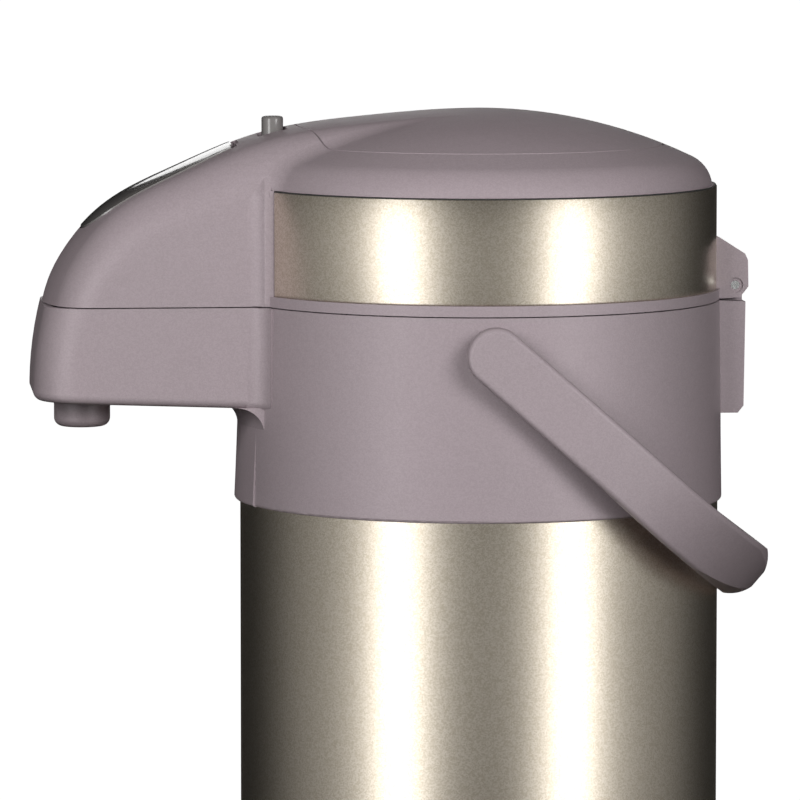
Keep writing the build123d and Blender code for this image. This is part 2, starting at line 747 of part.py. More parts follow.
with BuildPart() as collar_housing:
    turned([(0, collar_bottom), (collar_bottom_radius, collar_bottom), (collar_top_radius, collar_top),
            (0, collar_top)])
    fillet(collar_housing.edges().filter_by(GeomType.CIRCLE).group_by(Axis.Z)[0], radius=collar_edge)
    add(spout_shell)
    add(pilaster.part)
    add(spout_root.part)
    add(flank_fillets(collar_radius(collar_top), spout_floor_rear + spout_floor_edge, collar_top))
    with BuildSketch(Plane.YZ.offset(-ear_half_width)):
        with BuildLine():
            Polyline((collar_inner_radius, bracket_top), (bracket_face, bracket_top - bracket_slope),
                     (bracket_face - bracket_slope, bracket_bottom + bracket_corner),
                     (bracket_face - bracket_corner, bracket_bottom), (collar_inner_radius, bracket_bottom),
                     close=True)
        make_face()
    extrude(amount=2 * ear_half_width)
    # Hollow out the collar, its socket for the steel shell and the spout
    turned([(0, collar_bottom), (body_radius + fit_gap, collar_bottom),
            (body_radius + fit_gap, shell_top + body_gap), (collar_inner_radius, shell_top + body_gap),
            (collar_inner_radius, collar_top), (0, collar_top)], mode=Mode.SUBTRACT)
    add(spout_hollow, mode=Mode.SUBTRACT)
    # Front wall behind the spout, with a window for the delivery tube and the catch of the lid
    turned([(collar_inner_radius, shell_top + body_gap), (collar_top_radius, shell_top + body_gap),
            (collar_top_radius, collar_top), (collar_inner_radius, collar_top)])
    block((-catch_half_width, catch_half_width), (-catch_reach, -collar_inner_radius),
          (catch_bottom, collar_top - fit_gap))
    block((-window_half_width, window_half_width), (-catch_reach, -vessel_radius),
          (window_bottom, window_top), mode=Mode.SUBTRACT)
    # Deck that carries the vessel's mouth and the tie rods
    collar_deck_radius = collar_top_radius - join_overlap
    turned([(collar_deck_bore, collar_deck_height), (collar_deck_radius, collar_deck_height),
            (collar_deck_radius, collar_deck_top), (collar_deck_bore, collar_deck_top)])
    with PolarLocations(rod_circle, rod_count, start_angle=rod_angle):
        pillar(rod_radius + rod_boss_wall, collar_deck_height - rod_boss_length, collar_deck_height)
    with PolarLocations(mouth_screw_circle, screw_count, start_angle=screw_angle):
        pillar(mouth_boss_radius, collar_deck_height - mouth_boss_length, collar_deck_height)
    for side in (-1, 1):
        boss_middle = side * (bail_inner_radius - body_gap + bail_boss_inner) / 2
        with Locations(Plane((boss_middle, 0, pivot_height), z_dir=(1, 0, 0))):
            Cylinder(bail_boss_radius, bail_inner_radius - body_gap - bail_boss_inner)
    # Bores
    with PolarLocations(rod_circle, rod_count, start_angle=rod_angle):
        pillar(rod_radius + fit_gap, collar_deck_height - rod_boss_length, collar_deck_height,
               mode=Mode.SUBTRACT)
    with PolarLocations(mouth_screw_circle, screw_count, start_angle=screw_angle):
        pillar(small_screw_radius + fit_gap, collar_deck_height - mouth_boss_length, collar_deck_top,
               mode=Mode.SUBTRACT)
    for side in (-1, 1):
        socket_middle = side * (bail_inner_radius + bail_peg_tip - seat_gap) / 2
        with Locations(Plane((socket_middle, 0, pivot_height), z_dir=(1, 0, 0))):
            Cylinder(bail_peg_radius + fit_gap, bail_inner_radius - bail_peg_tip + seat_gap,
                     mode=Mode.SUBTRACT)
    block((-window_half_width, window_half_width), (-collar_top_radius, -mouth_flange_radius),
          (collar_deck_height, collar_deck_top), mode=Mode.SUBTRACT)
    with Locations((0, -nozzle_place)):
        pillar(nozzle_neck_radius + fit_gap, nozzle_bottom, nozzle_top, mode=Mode.SUBTRACT)
        pillar(nozzle_radius + fit_gap, nozzle_bottom, nozzle_seat, mode=Mode.SUBTRACT)
    # Hinge knuckle of the lid, on the rear bracket
    block((-knuckle_half_width, knuckle_half_width),
          (hinge_place - knuckle_radius + knuckle_front_step,
           hinge_place + knuckle_radius - knuckle_back_step),
          (collar_top - collar_wall, hinge_height))
    across(knuckle_radius, hinge_place, hinge_height, knuckle_half_width)
    across(hinge_pin_radius + fit_gap / 2, hinge_place, hinge_height, knuckle_half_width, mode=Mode.SUBTRACT)
save(collar_housing, "collar_housing")

with BuildPart() as mouth_ring:
    turned([(mouth_radius, mouth_bottom), (collar_deck_bore - seat_gap, mouth_bottom),
            (collar_deck_bore - seat_gap, collar_deck_top), (mouth_flange_radius, collar_deck_top),
            (mouth_flange_radius, collar_deck_top + mouth_flange_thickness),
            (mouth_radius + mouth_neck_wall, collar_deck_top + mouth_flange_thickness),
            (mouth_radius + mouth_neck_wall, mouth_top), (mouth_radius, mouth_top)])
    fillet(mouth_ring.edges().filter_by(GeomType.CIRCLE).group_by(Axis.Z)[-1], radius=mouth_neck_wall / 3)
    with PolarLocations(mouth_screw_circle, screw_count, start_angle=screw_angle):
        pillar(small_screw_radius + fit_gap, collar_deck_top, collar_deck_top + mouth_flange_thickness,
               mode=Mode.SUBTRACT)
save(mouth_ring, "mouth_ring")

with BuildPart() as mouth_screws:
    mouth_flange_top = collar_deck_top + mouth_flange_thickness
    with PolarLocations(mouth_screw_circle, screw_count, start_angle=screw_angle):
        pillar(small_screw_radius, mouth_flange_top - mouth_screw_length, mouth_flange_top)
        pillar(small_head_radius, mouth_flange_top, mouth_flange_top + small_head_height)
save(mouth_screws, "mouth_screws")

with BuildPart() as tie_rods:
    with PolarLocations(rod_circle, rod_count, start_angle=rod_angle):
        pillar(rod_radius, deck_height, collar_deck_height)
    with BuildSketch(Plane.XY.offset(deck_height)):
        with PolarLocations(rod_circle, rod_count, start_angle=rod_angle):
            RegularPolygon(rod_head_radius, 6)
    extrude(amount=-rod_head_height)
save(tie_rods, "tie_rods")

# ---- Lid envelope -------------------------------------------------------------------------


def lid_dome(inset):
    """The lid's domed top with its round shoulder and upright side, drawn in by the inset."""
    centre = apex_height - dome_radius
    join_angle = atan2(shoulder_height - centre, shoulder_out)
    end_angle = asin(shoulder_drop / shoulder_radius)
    large = dome_radius - inset
    small = shoulder_radius - inset
    half_angle = (join_angle + radians(90)) / 2
    small_angle = (join_angle + end_angle) / 2
    join = (large * cos(join_angle), centre + large * sin(join_angle))
    end = (shoulder_out + small * cos(end_angle), shoulder_height + small * sin(end_angle))
    crown_middle = (large * cos(half_angle), centre + large * sin(half_angle))
    shoulder_middle = (shoulder_out + small * cos(small_angle),
                       shoulder_height + small * sin(small_angle))
    with BuildPart() as form:
        with BuildSketch(Plane.XZ):
            with BuildLine():
                ThreePointArc((0, centre + large), crown_middle, join)
                ThreePointArc(join, shoulder_middle, end)
                Polyline(end, (end[0], lid_bottom), (0, lid_bottom), (0, centre + large))
            make_face()
        revolve(axis=Axis.Z)
    return form.part


def upper_spout(inset):
    """The spout's upper half: a crowned ridge that falls to the nose, drawn in by the inset."""
    length_scale = (spout_length - inset) / spout_length
    rise_scale = (spout_rise - inset) / spout_rise
    half_width = spout_half_width - inset
    with BuildPart() as form:
        for share in (-1, -0.5, 0, 0.5, 1):
            crown = 1 - spout_crown * share**2
            ridge = [(-reach * length_scale * crown, lid_bottom + rise * rise_scale * crown)
                     for reach, rise in spout_ridge]
            with BuildSketch(Plane.YZ.offset(share * half_width)):
                with BuildLine():
                    Spline(*ridge, tangents=[(-1, 0), nose_direction])
                    Polyline(ridge[-1], (0, lid_bottom), ridge[0])
                make_face()
        loft()
        flanks = form.faces().filter_by(Axis.X).sort_by(Axis.X)
        flank_edges = [flank.edges().sort_by(SortBy.LENGTH)[-1] for flank in (flanks[0], flanks[-1])]
        fillet(flank_edges, radius=spout_corner - inset)
    return form.part


with BuildPart() as lid_form:
    add(lid_dome(0))
    add(upper_spout(0))

with BuildPart() as lid_hollow:
    add(lid_dome(lid_wall))
    add(upper_spout(lid_wall))

with BuildPart() as lid_posts:
    pillar(strip_radius, strip_top, lid_band_top)
    block((-post_half_width, post_half_width), (-strip_radius, -well_radius),
          (strip_top, lid_band_top), mode=Mode.INTERSECT)

with BuildPart() as guide_tube:
    pillar(guide_radius, guide_bottom, apex_height)
    add(lid_form.part, mode=Mode.INTERSECT)

# Outline of the release lever, seen along the way in which its tip first moves
lever_up = (0, -sin(radians(lever_lean)), cos(radians(lever_lean)))
lever_plane = Plane((0, *lever_centre), x_dir=(1, 0, 0), z_dir=lever_up)


def lever_prism(grow, rear):
    """An upright prism on the lever's outline, grown by a clearance, up to its rear edge."""
    tip = lever_front - grow
    shoulder = (lever_front + lever_rear) / 2
    with BuildPart() as form:
        with BuildSketch(lever_plane.offset(-lever_mould_depth)):
            with BuildLine():
                Line((-lever_rear_half_width - grow, rear), (lever_rear_half_width + grow, rear))
                Spline((lever_rear_half_width + grow, rear), (lever_half_width + grow, shoulder), (0, tip),
                       tangents=[(0.3, -1), (-1, 0)])
                Spline((-lever_rear_half_width - grow, rear), (-lever_half_width - grow, shoulder), (0, tip),
                       tangents=[(-0.3, -1), (1, 0)])
            make_face()
        extrude(amount=2 * lever_mould_depth)
    return form.part


lever_seat = upper_spout(lever_recess)
lever_skin = upper_spout(-lever_proud)
lever_under = upper_spout(lever_thickness - lever_proud)

with BuildPart() as lever_pocket:
    add(lever_prism(lever_gap, lever_rear + lever_notch))
    add(lever_seat, mode=Mode.SUBTRACT)

with BuildPart() as lever_dip:
    block((-spout_half_width, spout_half_width), (-lever_dip_front, -lever_dip_rear),
          (lever_pivot_height + lever_knuckle_radius, apex_height))
    add(lever_prism(lever_gap, lever_rear + lever_notch), mode=Mode.INTERSECT)

lug_bottom = lever_pivot_height - lever_lug_drop
lug_inner = lever_knuckle_half_width + body_gap
lug_outer = lug_inner + lever_lug_width
shelf_top = shelf_height + shelf_thickness

with BuildPart() as lock_shelf:
    block((-spout_half_width, spout_half_width), (-shelf_front, -well_radius - join_overlap),
          (shelf_height, shelf_top))
    for side in (-1, 1):
        lug_middle = side * (lug_inner + lug_outer) / 2
        block((lug_middle - lever_lug_width / 2, lug_middle + lever_lug_width / 2),
              (-lever_pivot_place - lever_knuckle_radius, -well_radius - join_overlap),
              (lug_bottom, shelf_top))
    add(lid_form.part, mode=Mode.INTERSECT)

with BuildPart() as lid_frame:
    add(lid_form.part)
    pillar(strip_radius, lid_bottom, strip_top)
    pillar(band_radius - band_wall - fit_gap, strip_top, lid_band_top - seat_gap)
    add(lid_posts.part)
    add(flank_fillets(strip_radius, lid_bottom, lid_band_top))
    with BuildSketch(Plane.YZ.offset(-ear_half_width)):
        with BuildLine():
            Polyline((collar_inner_radius, lid_bottom + ear_top),
                     (band_radius, lid_bottom + ear_top - ear_slope),
                     *[(hinge_place + out, hinge_height + up) for out, up in ear_outline],
                     (strip_radius, lid_bottom), (collar_inner_radius, lid_bottom), close=True)
        make_face()
    extrude(amount=2 * ear_half_width)
    add(lid_hollow.part, mode=Mode.SUBTRACT)
    add(guide_tube.part)
    add(lock_shelf.part)
    with PolarLocations(lid_boss_circle, screw_count, start_angle=screw_angle):
        pillar(lid_boss_radius, inner_lid_top, inner_lid_top + lid_boss_height)
    pillar(well_radius, lid_bottom, apex_height, mode=Mode.SUBTRACT)
    # Pocket and openings of the release lever, and the slot of the lock
    add(lever_pocket.part, mode=Mode.SUBTRACT)
    block((-lever_knuckle_half_width - body_gap, lever_knuckle_half_width + body_gap),
          (-lever_pivot_place - lever_knuckle_radius - lever_opening_front,
           -lever_pivot_place + lever_knuckle_radius + lever_opening_rear),
          (lug_bottom, apex_height), mode=Mode.SUBTRACT)
    add(lever_dip.part, mode=Mode.SUBTRACT)
    across(lever_pin_radius + fit_gap / 2, -lever_pivot_place, lever_pivot_height, lug_outer,
           mode=Mode.SUBTRACT)
    block((-lock_radius - lock_travel - body_gap, lock_radius + lock_travel + body_gap),
          (-lock_slot_front, -lock_slot_rear), (shelf_top, apex_height), mode=Mode.SUBTRACT)
    # Screw holes
    with PolarLocations(lid_boss_circle, screw_count, start_angle=screw_angle):
        pillar(lid_screw_radius + fit_gap, inner_lid_top, inner_lid_top + lid_screw_length,
               mode=Mode.SUBTRACT)
    # Hinge: the slot of the knuckle and the bore of the pin
    block((-knuckle_half_width - body_gap, knuckle_half_width + body_gap),
          (strip_radius + seat_gap, hinge_place + ear_reach + cut_margin),
          (lid_bottom - cut_margin, hinge_height + knuckle_radius + knuckle_gap), mode=Mode.SUBTRACT)
    across(hinge_pin_radius + fit_gap, hinge_place, hinge_height, ear_half_width, mode=Mode.SUBTRACT)
    for side in (-1, 1):
        with Locations(Plane((side * ear_half_width, hinge_place, hinge_height), z_dir=(1, 0, 0))):
            Cylinder(pin_recess_radius, 2 * pin_recess_depth, mode=Mode.SUBTRACT)
save(lid_frame, "lid_frame")

with BuildPart() as lid_band:
    pillar(band_radius, strip_top, lid_band_top)
    pillar(band_radius - band_wall, strip_top, lid_band_top, mode=Mode.SUBTRACT)
    block((-post_half_width - seat_gap, post_half_width + seat_gap), (-band_radius, -well_radius),
          (strip_top, lid_band_top), mode=Mode.SUBTRACT)
    block((-ear_half_width - seat_gap, ear_half_width + seat_gap), (well_radius, band_radius),
          (strip_top, lid_bottom + ear_top + seat_gap), mode=Mode.SUBTRACT)
save(lid_band, "lid_band")

with BuildPart() as hinge_pin:
    across(hinge_pin_radius, hinge_place, hinge_height, ear_half_width - pin_recess_depth)
save(hinge_pin, "hinge_pin")

# ---- Inner lid and air pump ---------------------------------------------------------------
lid_inner_radius = ring_radius - lid_wall - inner_lid_gap

with BuildPart() as inner_lid:
    turned([(0, plug_bottom), (plug_radius, plug_bottom), (plug_radius, lid_bottom),
            (lid_inner_radius, lid_bottom),
            (lid_inner_radius, inner_lid_top), (plug_radius - plug_wall, inner_lid_top),
            (plug_radius - plug_wall, plug_floor_top), (0, plug_floor_top)])
    pillar(valve_stem_radius + fit_gap, plug_bottom, plug_floor_top, mode=Mode.SUBTRACT)
    with PolarLocations(air_hole_circle, air_hole_count):
        pillar(air_hole_radius, plug_bottom, plug_floor_top, mode=Mode.SUBTRACT)
    with PolarLocations(lid_boss_circle, screw_count, start_angle=screw_angle):
        pillar(lid_screw_radius + fit_gap, lid_bottom, inner_lid_top, mode=Mode.SUBTRACT)
save(inner_lid, "inner_lid")

with BuildPart() as lid_screws:
    with PolarLocations(lid_boss_circle, screw_count, start_angle=screw_angle):
        pillar(lid_head_radius, lid_bottom - lid_head_height, lid_bottom)
        pillar(lid_screw_radius, lid_bottom, lid_bottom + lid_screw_length)
save(lid_screws, "lid_screws")

with BuildPart() as lid_seal:
    turned([(plug_radius + fit_gap, lid_bottom), (plug_radius + seal_width, lid_bottom),
            (plug_radius + seal_width, lid_bottom - seal_thickness),
            (plug_radius + seal_width / 2, mouth_top + body_gap),
            (plug_radius + fit_gap, lid_bottom - seal_thickness)])
save(lid_seal, "lid_seal")

with BuildPart() as air_valve:
    pillar(valve_radius, plug_bottom - valve_thickness, plug_bottom)
    pillar(valve_stem_radius, plug_bottom, plug_floor_top)
    pillar(valve_bead_radius, plug_floor_top, plug_floor_top + valve_thickness)
save(air_valve, "air_valve")

fold_height = (presser_height - plug_floor_top - 2 * bellows_flange_thickness) / bellows_folds
first_fold = plug_floor_top + bellows_flange_thickness
outer_folds = []
for fold in range(bellows_folds):
    fold_bottom = first_fold + fold * fold_height
    outer_folds += [(bellows_inner_radius, fold_bottom), (bellows_radius, fold_bottom + fold_height / 2)]
outer_folds.append((bellows_inner_radius, presser_height - bellows_flange_thickness))
inner_folds = [(radius - bellows_wall, height) for radius, height in reversed(outer_folds)]

with BuildPart() as bellows:
    bellows_flange_radius = bellows_radius - bellows_flange_step
    turned([(bellows_inner_radius - bellows_wall, plug_floor_top), (bellows_radius, plug_floor_top),
            (bellows_radius, first_fold)] + outer_folds +
           [(bellows_flange_radius, presser_height - bellows_flange_thickness),
            (bellows_flange_radius, presser_height),
            (bellows_inner_radius - bellows_wall, presser_height)] + inner_folds)
save(bellows, "bellows")

with BuildPart() as return_spring:
    coil_height = presser_height - plug_floor_top - 2 * spring_wire
    with BuildLine(Plane.XY.offset(plug_floor_top + spring_wire)) as coil:
        Helix(pitch=spring_pitch, height=coil_height, radius=spring_radius)
    with BuildSketch(Plane(coil.line @ 0, z_dir=coil.line % 0)):
        Circle(spring_wire)
    sweep(path=coil.line)
save(return_spring, "return_spring")

# ---- Push plate ---------------------------------------------------------------------------
plate_hollow_dome = lid_dome(plate_wall)
plate_hollow_ridge = upper_spout(plate_wall)

with BuildPart() as push_plate:
    add(lid_form.part)
    pillar(plate_radius, skirt_bottom, apex_height + cut_margin, mode=Mode.INTERSECT)
    with BuildPart(mode=Mode.PRIVATE) as plate_hollow:
        add(plate_hollow_dome)
        add(plate_hollow_ridge)
        pillar(plate_radius - plate_wall, lid_bottom, apex_height, mode=Mode.INTERSECT)
    add(plate_hollow.part, mode=Mode.SUBTRACT)
    pillar(stem_radius, presser_height + presser_thickness, apex_height - plate_wall / 2)
save(push_plate, "push_plate")

with BuildPart() as presser:
    pillar(presser_radius, presser_height, presser_height + presser_thickness)
save(presser, "presser")

# ---- Release lever ------------------------------------------------------------------------
with BuildPart() as lever_web:
    block((-lever_knuckle_half_width, lever_knuckle_half_width),
          (-lever_pivot_place - lever_knuckle_radius, -lever_pivot_place + lever_knuckle_radius / 2),
          (lever_pivot_height, apex_height))
    add(lever_skin, mode=Mode.INTERSECT)

with BuildPart() as release_lever:
    add(lever_prism(0, lever_rear))
    add(lever_skin, mode=Mode.INTERSECT)
    add(lever_under, mode=Mode.SUBTRACT)
    add(lever_web.part)
    across(lever_knuckle_radius, -lever_pivot_place, lever_pivot_height, lever_knuckle_half_width)
    hook_front = -lever_pivot_place - lever_knuckle_radius
    block((-hook_half_width, hook_half_width), (hook_front, hook_front + hook_thickness),
          (hook_bottom, lever_pivot_height))
    block((-hook_half_width, hook_half_width), (hook_front, -catch_reach - body_gap),
          (hook_bottom, hook_bottom + hook_nose_height))
    across(lever_pin_radius + fit_gap, -lever_pivot_place, lever_pivot_height, lever_knuckle_half_width,
           mode=Mode.SUBTRACT)
save(release_lever, "release_lever")

with BuildPart() as lever_pin:
    across(lever_pin_radius, -lever_pivot_place, lever_pivot_height, lug_outer)
save(lever_pin, "lever_pin")

# ---- Lock slider --------------------------------------------------------------------------
with BuildPart() as lock_slider:
    block((-lock_plate_half_width, lock_plate_half_width),
          (-lock_slot_front - lock_plate_lap, -guide_radius - lock_plate_gap),
          (shelf_top + fit_gap, shelf_top + fit_gap + lock_plate_thickness))
    with Locations((0, -lock_place)):
        pillar(lock_radius, shelf_top + fit_gap, lock_top)
    fillet(lock_slider.edges().filter_by(GeomType.CIRCLE).group_by(Axis.Z)[-1], radius=lock_edge)
save(lock_slider, "lock_slider")

# ---- Bail handle --------------------------------------------------------------------------
rest_angle = radians(bail_rest_angle)
bail_plane = Plane((0, 0, pivot_height), x_dir=(1, 0, 0), z_dir=(0, sin(rest_angle), cos(rest_angle)))
bail_side = Plane((0, 0, pivot_height), x_dir=(0, cos(rest_angle), -sin(rest_angle)), z_dir=(1, 0, 0))
hub_top = (-bail_hub_offset, bail_hub_rise + bail_hub_radius)
hub_low = (-bail_hub_offset, bail_hub_rise - bail_hub_radius)
hub_end = -bail_hub_offset - bail_hub_radius

with BuildPart() as bail_profile:
    with BuildSketch(bail_side.offset(-bail_outer_half_width)):
        with BuildLine():
            upper = TangentArc(hub_top, bail_upper_middle, tangent=(1, 0))
            TangentArc(bail_upper_middle, (bail_reach, bail_upper_end), tangent=upper % 1)
            Line((bail_reach, bail_upper_end), (bail_reach, bail_lower_end))
            lower = TangentArc(hub_low, bail_lower_middle, tangent=(1, 0))
            TangentArc(bail_lower_middle, (bail_reach, bail_lower_end), tangent=lower % 1)
            ThreePointArc(hub_low, (hub_end, bail_hub_rise), hub_top)
        make_face()
    extrude(amount=2 * bail_outer_half_width)

# A turned form that crowns the far end and fades out towards the arms
with BuildPart() as bail_crown:
    with BuildSketch(bail_side):
        with BuildLine():
            crown = CenterArc((bail_reach - bail_crown_radius, bail_crown_rise), bail_crown_radius,
                              start_angle=-90, arc_size=180)
            Polyline(crown @ 0, (bail_crown_centre, (crown @ 0).Y), (bail_crown_centre, (crown @ 1).Y),
                     crown @ 1)
        make_face()
    crown_axis = bail_side.from_local_coords((bail_crown_centre, 0, 0))
    revolve(axis=Axis(crown_axis, bail_plane.z_dir))


def rims(walls):
    """The edges of the strap's walls that run along it."""
    edges = ShapeList(edge for wall in walls for edge in wall.edges())
    return edges.filter_by(Axis((0, 0, 0), bail_plane.z_dir), reverse=True)


with BuildPart() as bail_handle:
    with BuildSketch(bail_plane.offset(-bail_depth)):
        with BuildLine():
            for side in (-1, 1):
                Line((side * bail_inner_radius, hub_end), (side * bail_outer_half_width, hub_end))
                Line((side * bail_outer_half_width, hub_end), (side * bail_outer_half_width, bail_straight))
                Line((side * bail_inner_radius, hub_end), (side * bail_inner_radius, bail_inner_straight))
            EllipticalCenterArc((0, bail_straight), bail_outer_half_width, bail_top, start_angle=0,
                                arc_size=180)
            CenterArc((0, bail_inner_straight), bail_inner_radius, start_angle=180, arc_size=-180)
        make_face()
    extrude(amount=2 * bail_depth)
    add(bail_profile.part, mode=Mode.INTERSECT)
    arms = bail_handle.faces().filter_by(Axis.X).sort_by(lambda face: abs(face.center().X))
    fillet(rims(arms[2:] + bail_handle.faces().filter_by(GeomType.EXTRUSION)), radius=bail_outer_edge)
    arms = bail_handle.faces().filter_by(Axis.X).sort_by(lambda face: abs(face.center().X))
    fillet(rims(arms[:2] + bail_handle.faces().sort_by(SortBy.AREA)[-1:]), radius=bail_inner_edge)
    add(bail_crown.part, mode=Mode.INTERSECT)
    for side in (-1, 1):
        peg_middle = side * (bail_inner_radius + bail_peg_tip) / 2
        with Locations(Plane((peg_middle, 0, pivot_height), z_dir=(1, 0, 0))):
            Cylinder(bail_peg_radius, bail_inner_radius - bail_peg_tip + fit_gap)
save(bail_handle, "bail_handle")
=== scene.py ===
"""Looks of an electric thermo pot: mauve mouldings, satin steel and a glossy lever, in a small studio."""
import json
import math

import bmesh
import bpy
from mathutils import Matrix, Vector
from mathutils.bvhtree import BVHTree


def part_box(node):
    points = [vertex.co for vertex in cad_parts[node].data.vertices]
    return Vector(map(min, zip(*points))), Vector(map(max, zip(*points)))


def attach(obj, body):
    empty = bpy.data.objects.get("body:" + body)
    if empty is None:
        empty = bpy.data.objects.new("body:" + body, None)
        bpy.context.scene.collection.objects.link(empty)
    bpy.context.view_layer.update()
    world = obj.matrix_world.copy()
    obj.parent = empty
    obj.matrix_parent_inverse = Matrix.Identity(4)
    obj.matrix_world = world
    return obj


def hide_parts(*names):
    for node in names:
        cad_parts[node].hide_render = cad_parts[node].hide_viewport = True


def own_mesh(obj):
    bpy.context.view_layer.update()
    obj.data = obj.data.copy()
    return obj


# Lengths are in metres and angles in degrees, and places are in the pot's own frame.
MM = 0.001
HANDS = ((1, "near"), (-1, "far"))        # the pot's sides at +X and -X

# ---- Steel walls ---------------------------------------------------------------------------
SMOOTH_ANGLE = 30.0
WALL_SEGMENTS = 256
STEEL_EDGE = 0.00015        # how much the steel's edges are broken
STEEL_EDGE_ANGLE = 60.0
SHELL_WALL = 0.0008
BAND_WALL = 0.0008
BAND_FRONT_GAP = 0.0356     # half the width of the opening for the spout
BAND_REAR_GAP = 0.0136      # half the width of the notch for the hinge ear
BAND_REAR_TOP = 0.2862
BAND_REVEAL = 0.0005        # how far the dark ring of painted shade shows beyond the band's edges
SHADE_RING_SINK = 0.00025       # and how far that ring of painted shade lies below the band's face

# ---- The lid's dome, and the crease beside the spout's ridge --------------------------------
DOME_RADIUS = 0.171975
DOME_CENTRE = 0.158025      # its height on the pot's axis
SHOULDER_RADIUS = 0.0118    # of the rounding that leads from the dome to the lid's side
SHOULDER_OUT = 0.06895
SHOULDER_HEIGHT = 0.3026
DOME_TOLERANCE = 0.00003
RING_BOTTOM = 0.3046
SEAM_RADIUS = 0.0639        # the opening in the lid, round the push plate
SEAM_REACH = 0.0006
SEAM_CUTTER_DEPTH = 0.2
PLATE_RADIUS = 0.0634
WELD = 0.000002
CREASE_MIDDLE = 0.0195      # the crease lies further out than this
CREASE_FACING = -0.2        # and the ridge's normal there points no further down than this
CREASE_STEP = 0.0012
CREASE_EASING = 6
BLEND_RADII = ((0.304, 0.0125), (0.312, 0.013), (0.320, 0.015), (0.3285, 0.03))     # height, radius
BLEND_STEPS = 14
BLEND_BURIAL = 0.00004      # how far a blend's two edges lie under the skins
BLEND_ROOT = 0.0004         # and its hidden corner under the crease
BLEND_FOOT = 0.004          # how far it is drawn on below its lowest section
BLEND_BOTTOM = 0.30405
ROLLING_ROUNDS = 30
FADED = 0.06                # sine of the flattest angle between the skins that still gets a blend

# ---- The hollow sweep between the spout's side walls and the round body ---------------------
SPOUT_SIDE = 0.033
ROOT_RADIUS = 0.009
ROOT_START = -0.0833
ROOT_STEPS = 16
ROOT_BURIAL = 0.0002        # how far a strip's back lies inside the side wall
LID_SWEEP = 42.0
LID_ROLL = 0.0009           # radius of the edge that ends the lid's sweep
LID_STRIP_END = -0.0749
LID_HEEL = 0.002            # from the side wall to the inner corner of the strip's end
LID_BACK = 0.003            # from the sweep's start to where the strip's back meets the side wall
LID_FOOT = 0.2646
LID_TAPER = ((0.0, 0.0), (0.0364, 0.0), (0.0399, 0.0006), (0.0444, 0.0032))     # up from the foot, inset
COLLAR_SWEEP = 64.0
COLLAR_HEEL = (0.0008, 0.0012)      # from the sweep's end into the round wall
COLLAR_BACK = 0.004
COLLAR_FOOT = 0.2296
COLLAR_TAPER = ((0.0, 0.0012), (0.0009, 0.0004), (0.0022, 0.0), (0.0342, 0.0))

# ---- Camera and studio -----------------------------------------------------------------------
CAMERA_DISTANCE = 2.159
CAMERA_HEIGHT = 0.440
CAMERA_TURN = -6.2          # from +X, towards the spout
CAMERA_LENS = 280.8         # in millimetres, like the sensor's width
SENSOR_WIDTH = 36.0
AIM_HEIGHT = 0.2285
AIM_OFFSET = 0.0274         # the view centre lies this far towards the spout

# Each softbox: its name, turn from the camera's side, rise, power, and whether shiny surfaces mirror it.
KEYS = (("key_spout_side", -28.0, 19.5, 7.5, False),
        ("key_hinge_side", 28.0, 19.5, 7.5, False),
        ("rear_fill", 180.0, 8.0, 4.0, True))
KEY_DISTANCE = 1.2
KEY_SIZE = 0.5
AMBIENT_COLOUR = (1.0, 0.9, 0.8)
AMBIENT_STRENGTH = 0.03

COVE_RADIUS = 1.0           # the wall of light round the pot that the steel mirrors
COVE_BOTTOM = -0.4
COVE_TOP = 0.6
COVE_TURN = 3.0             # from the camera's side to the cove's front
# Degrees from the cove's front, brightness.
COVE_PROFILE = ((0, 0.22), (16, 0.29), (27, 0.6), (36, 3.8), (44, 3.8), (54, 0.64),
                (74, 0.34), (95, 0.21), (112, 0.07), (130, 0.01), (180, 0.0))

CARD_DISTANCE = 1.0         # a white card behind the pot, for the gloss of the lever
CARD_RISE = 9.0
CARD_TURN = 8.5
CARD_WIDTH = 0.28
CARD_HEIGHT = 0.24
CARD_BRIGHTNESS = 0.95
FLOOR_RADIUS = 0.52
FLOOR_BRIGHTNESS = 0.35
BACKDROP_RADIUS = 8.0
BACKDROP_BRIGHTNESS = 1.0
STAGE_SEGMENTS = 128


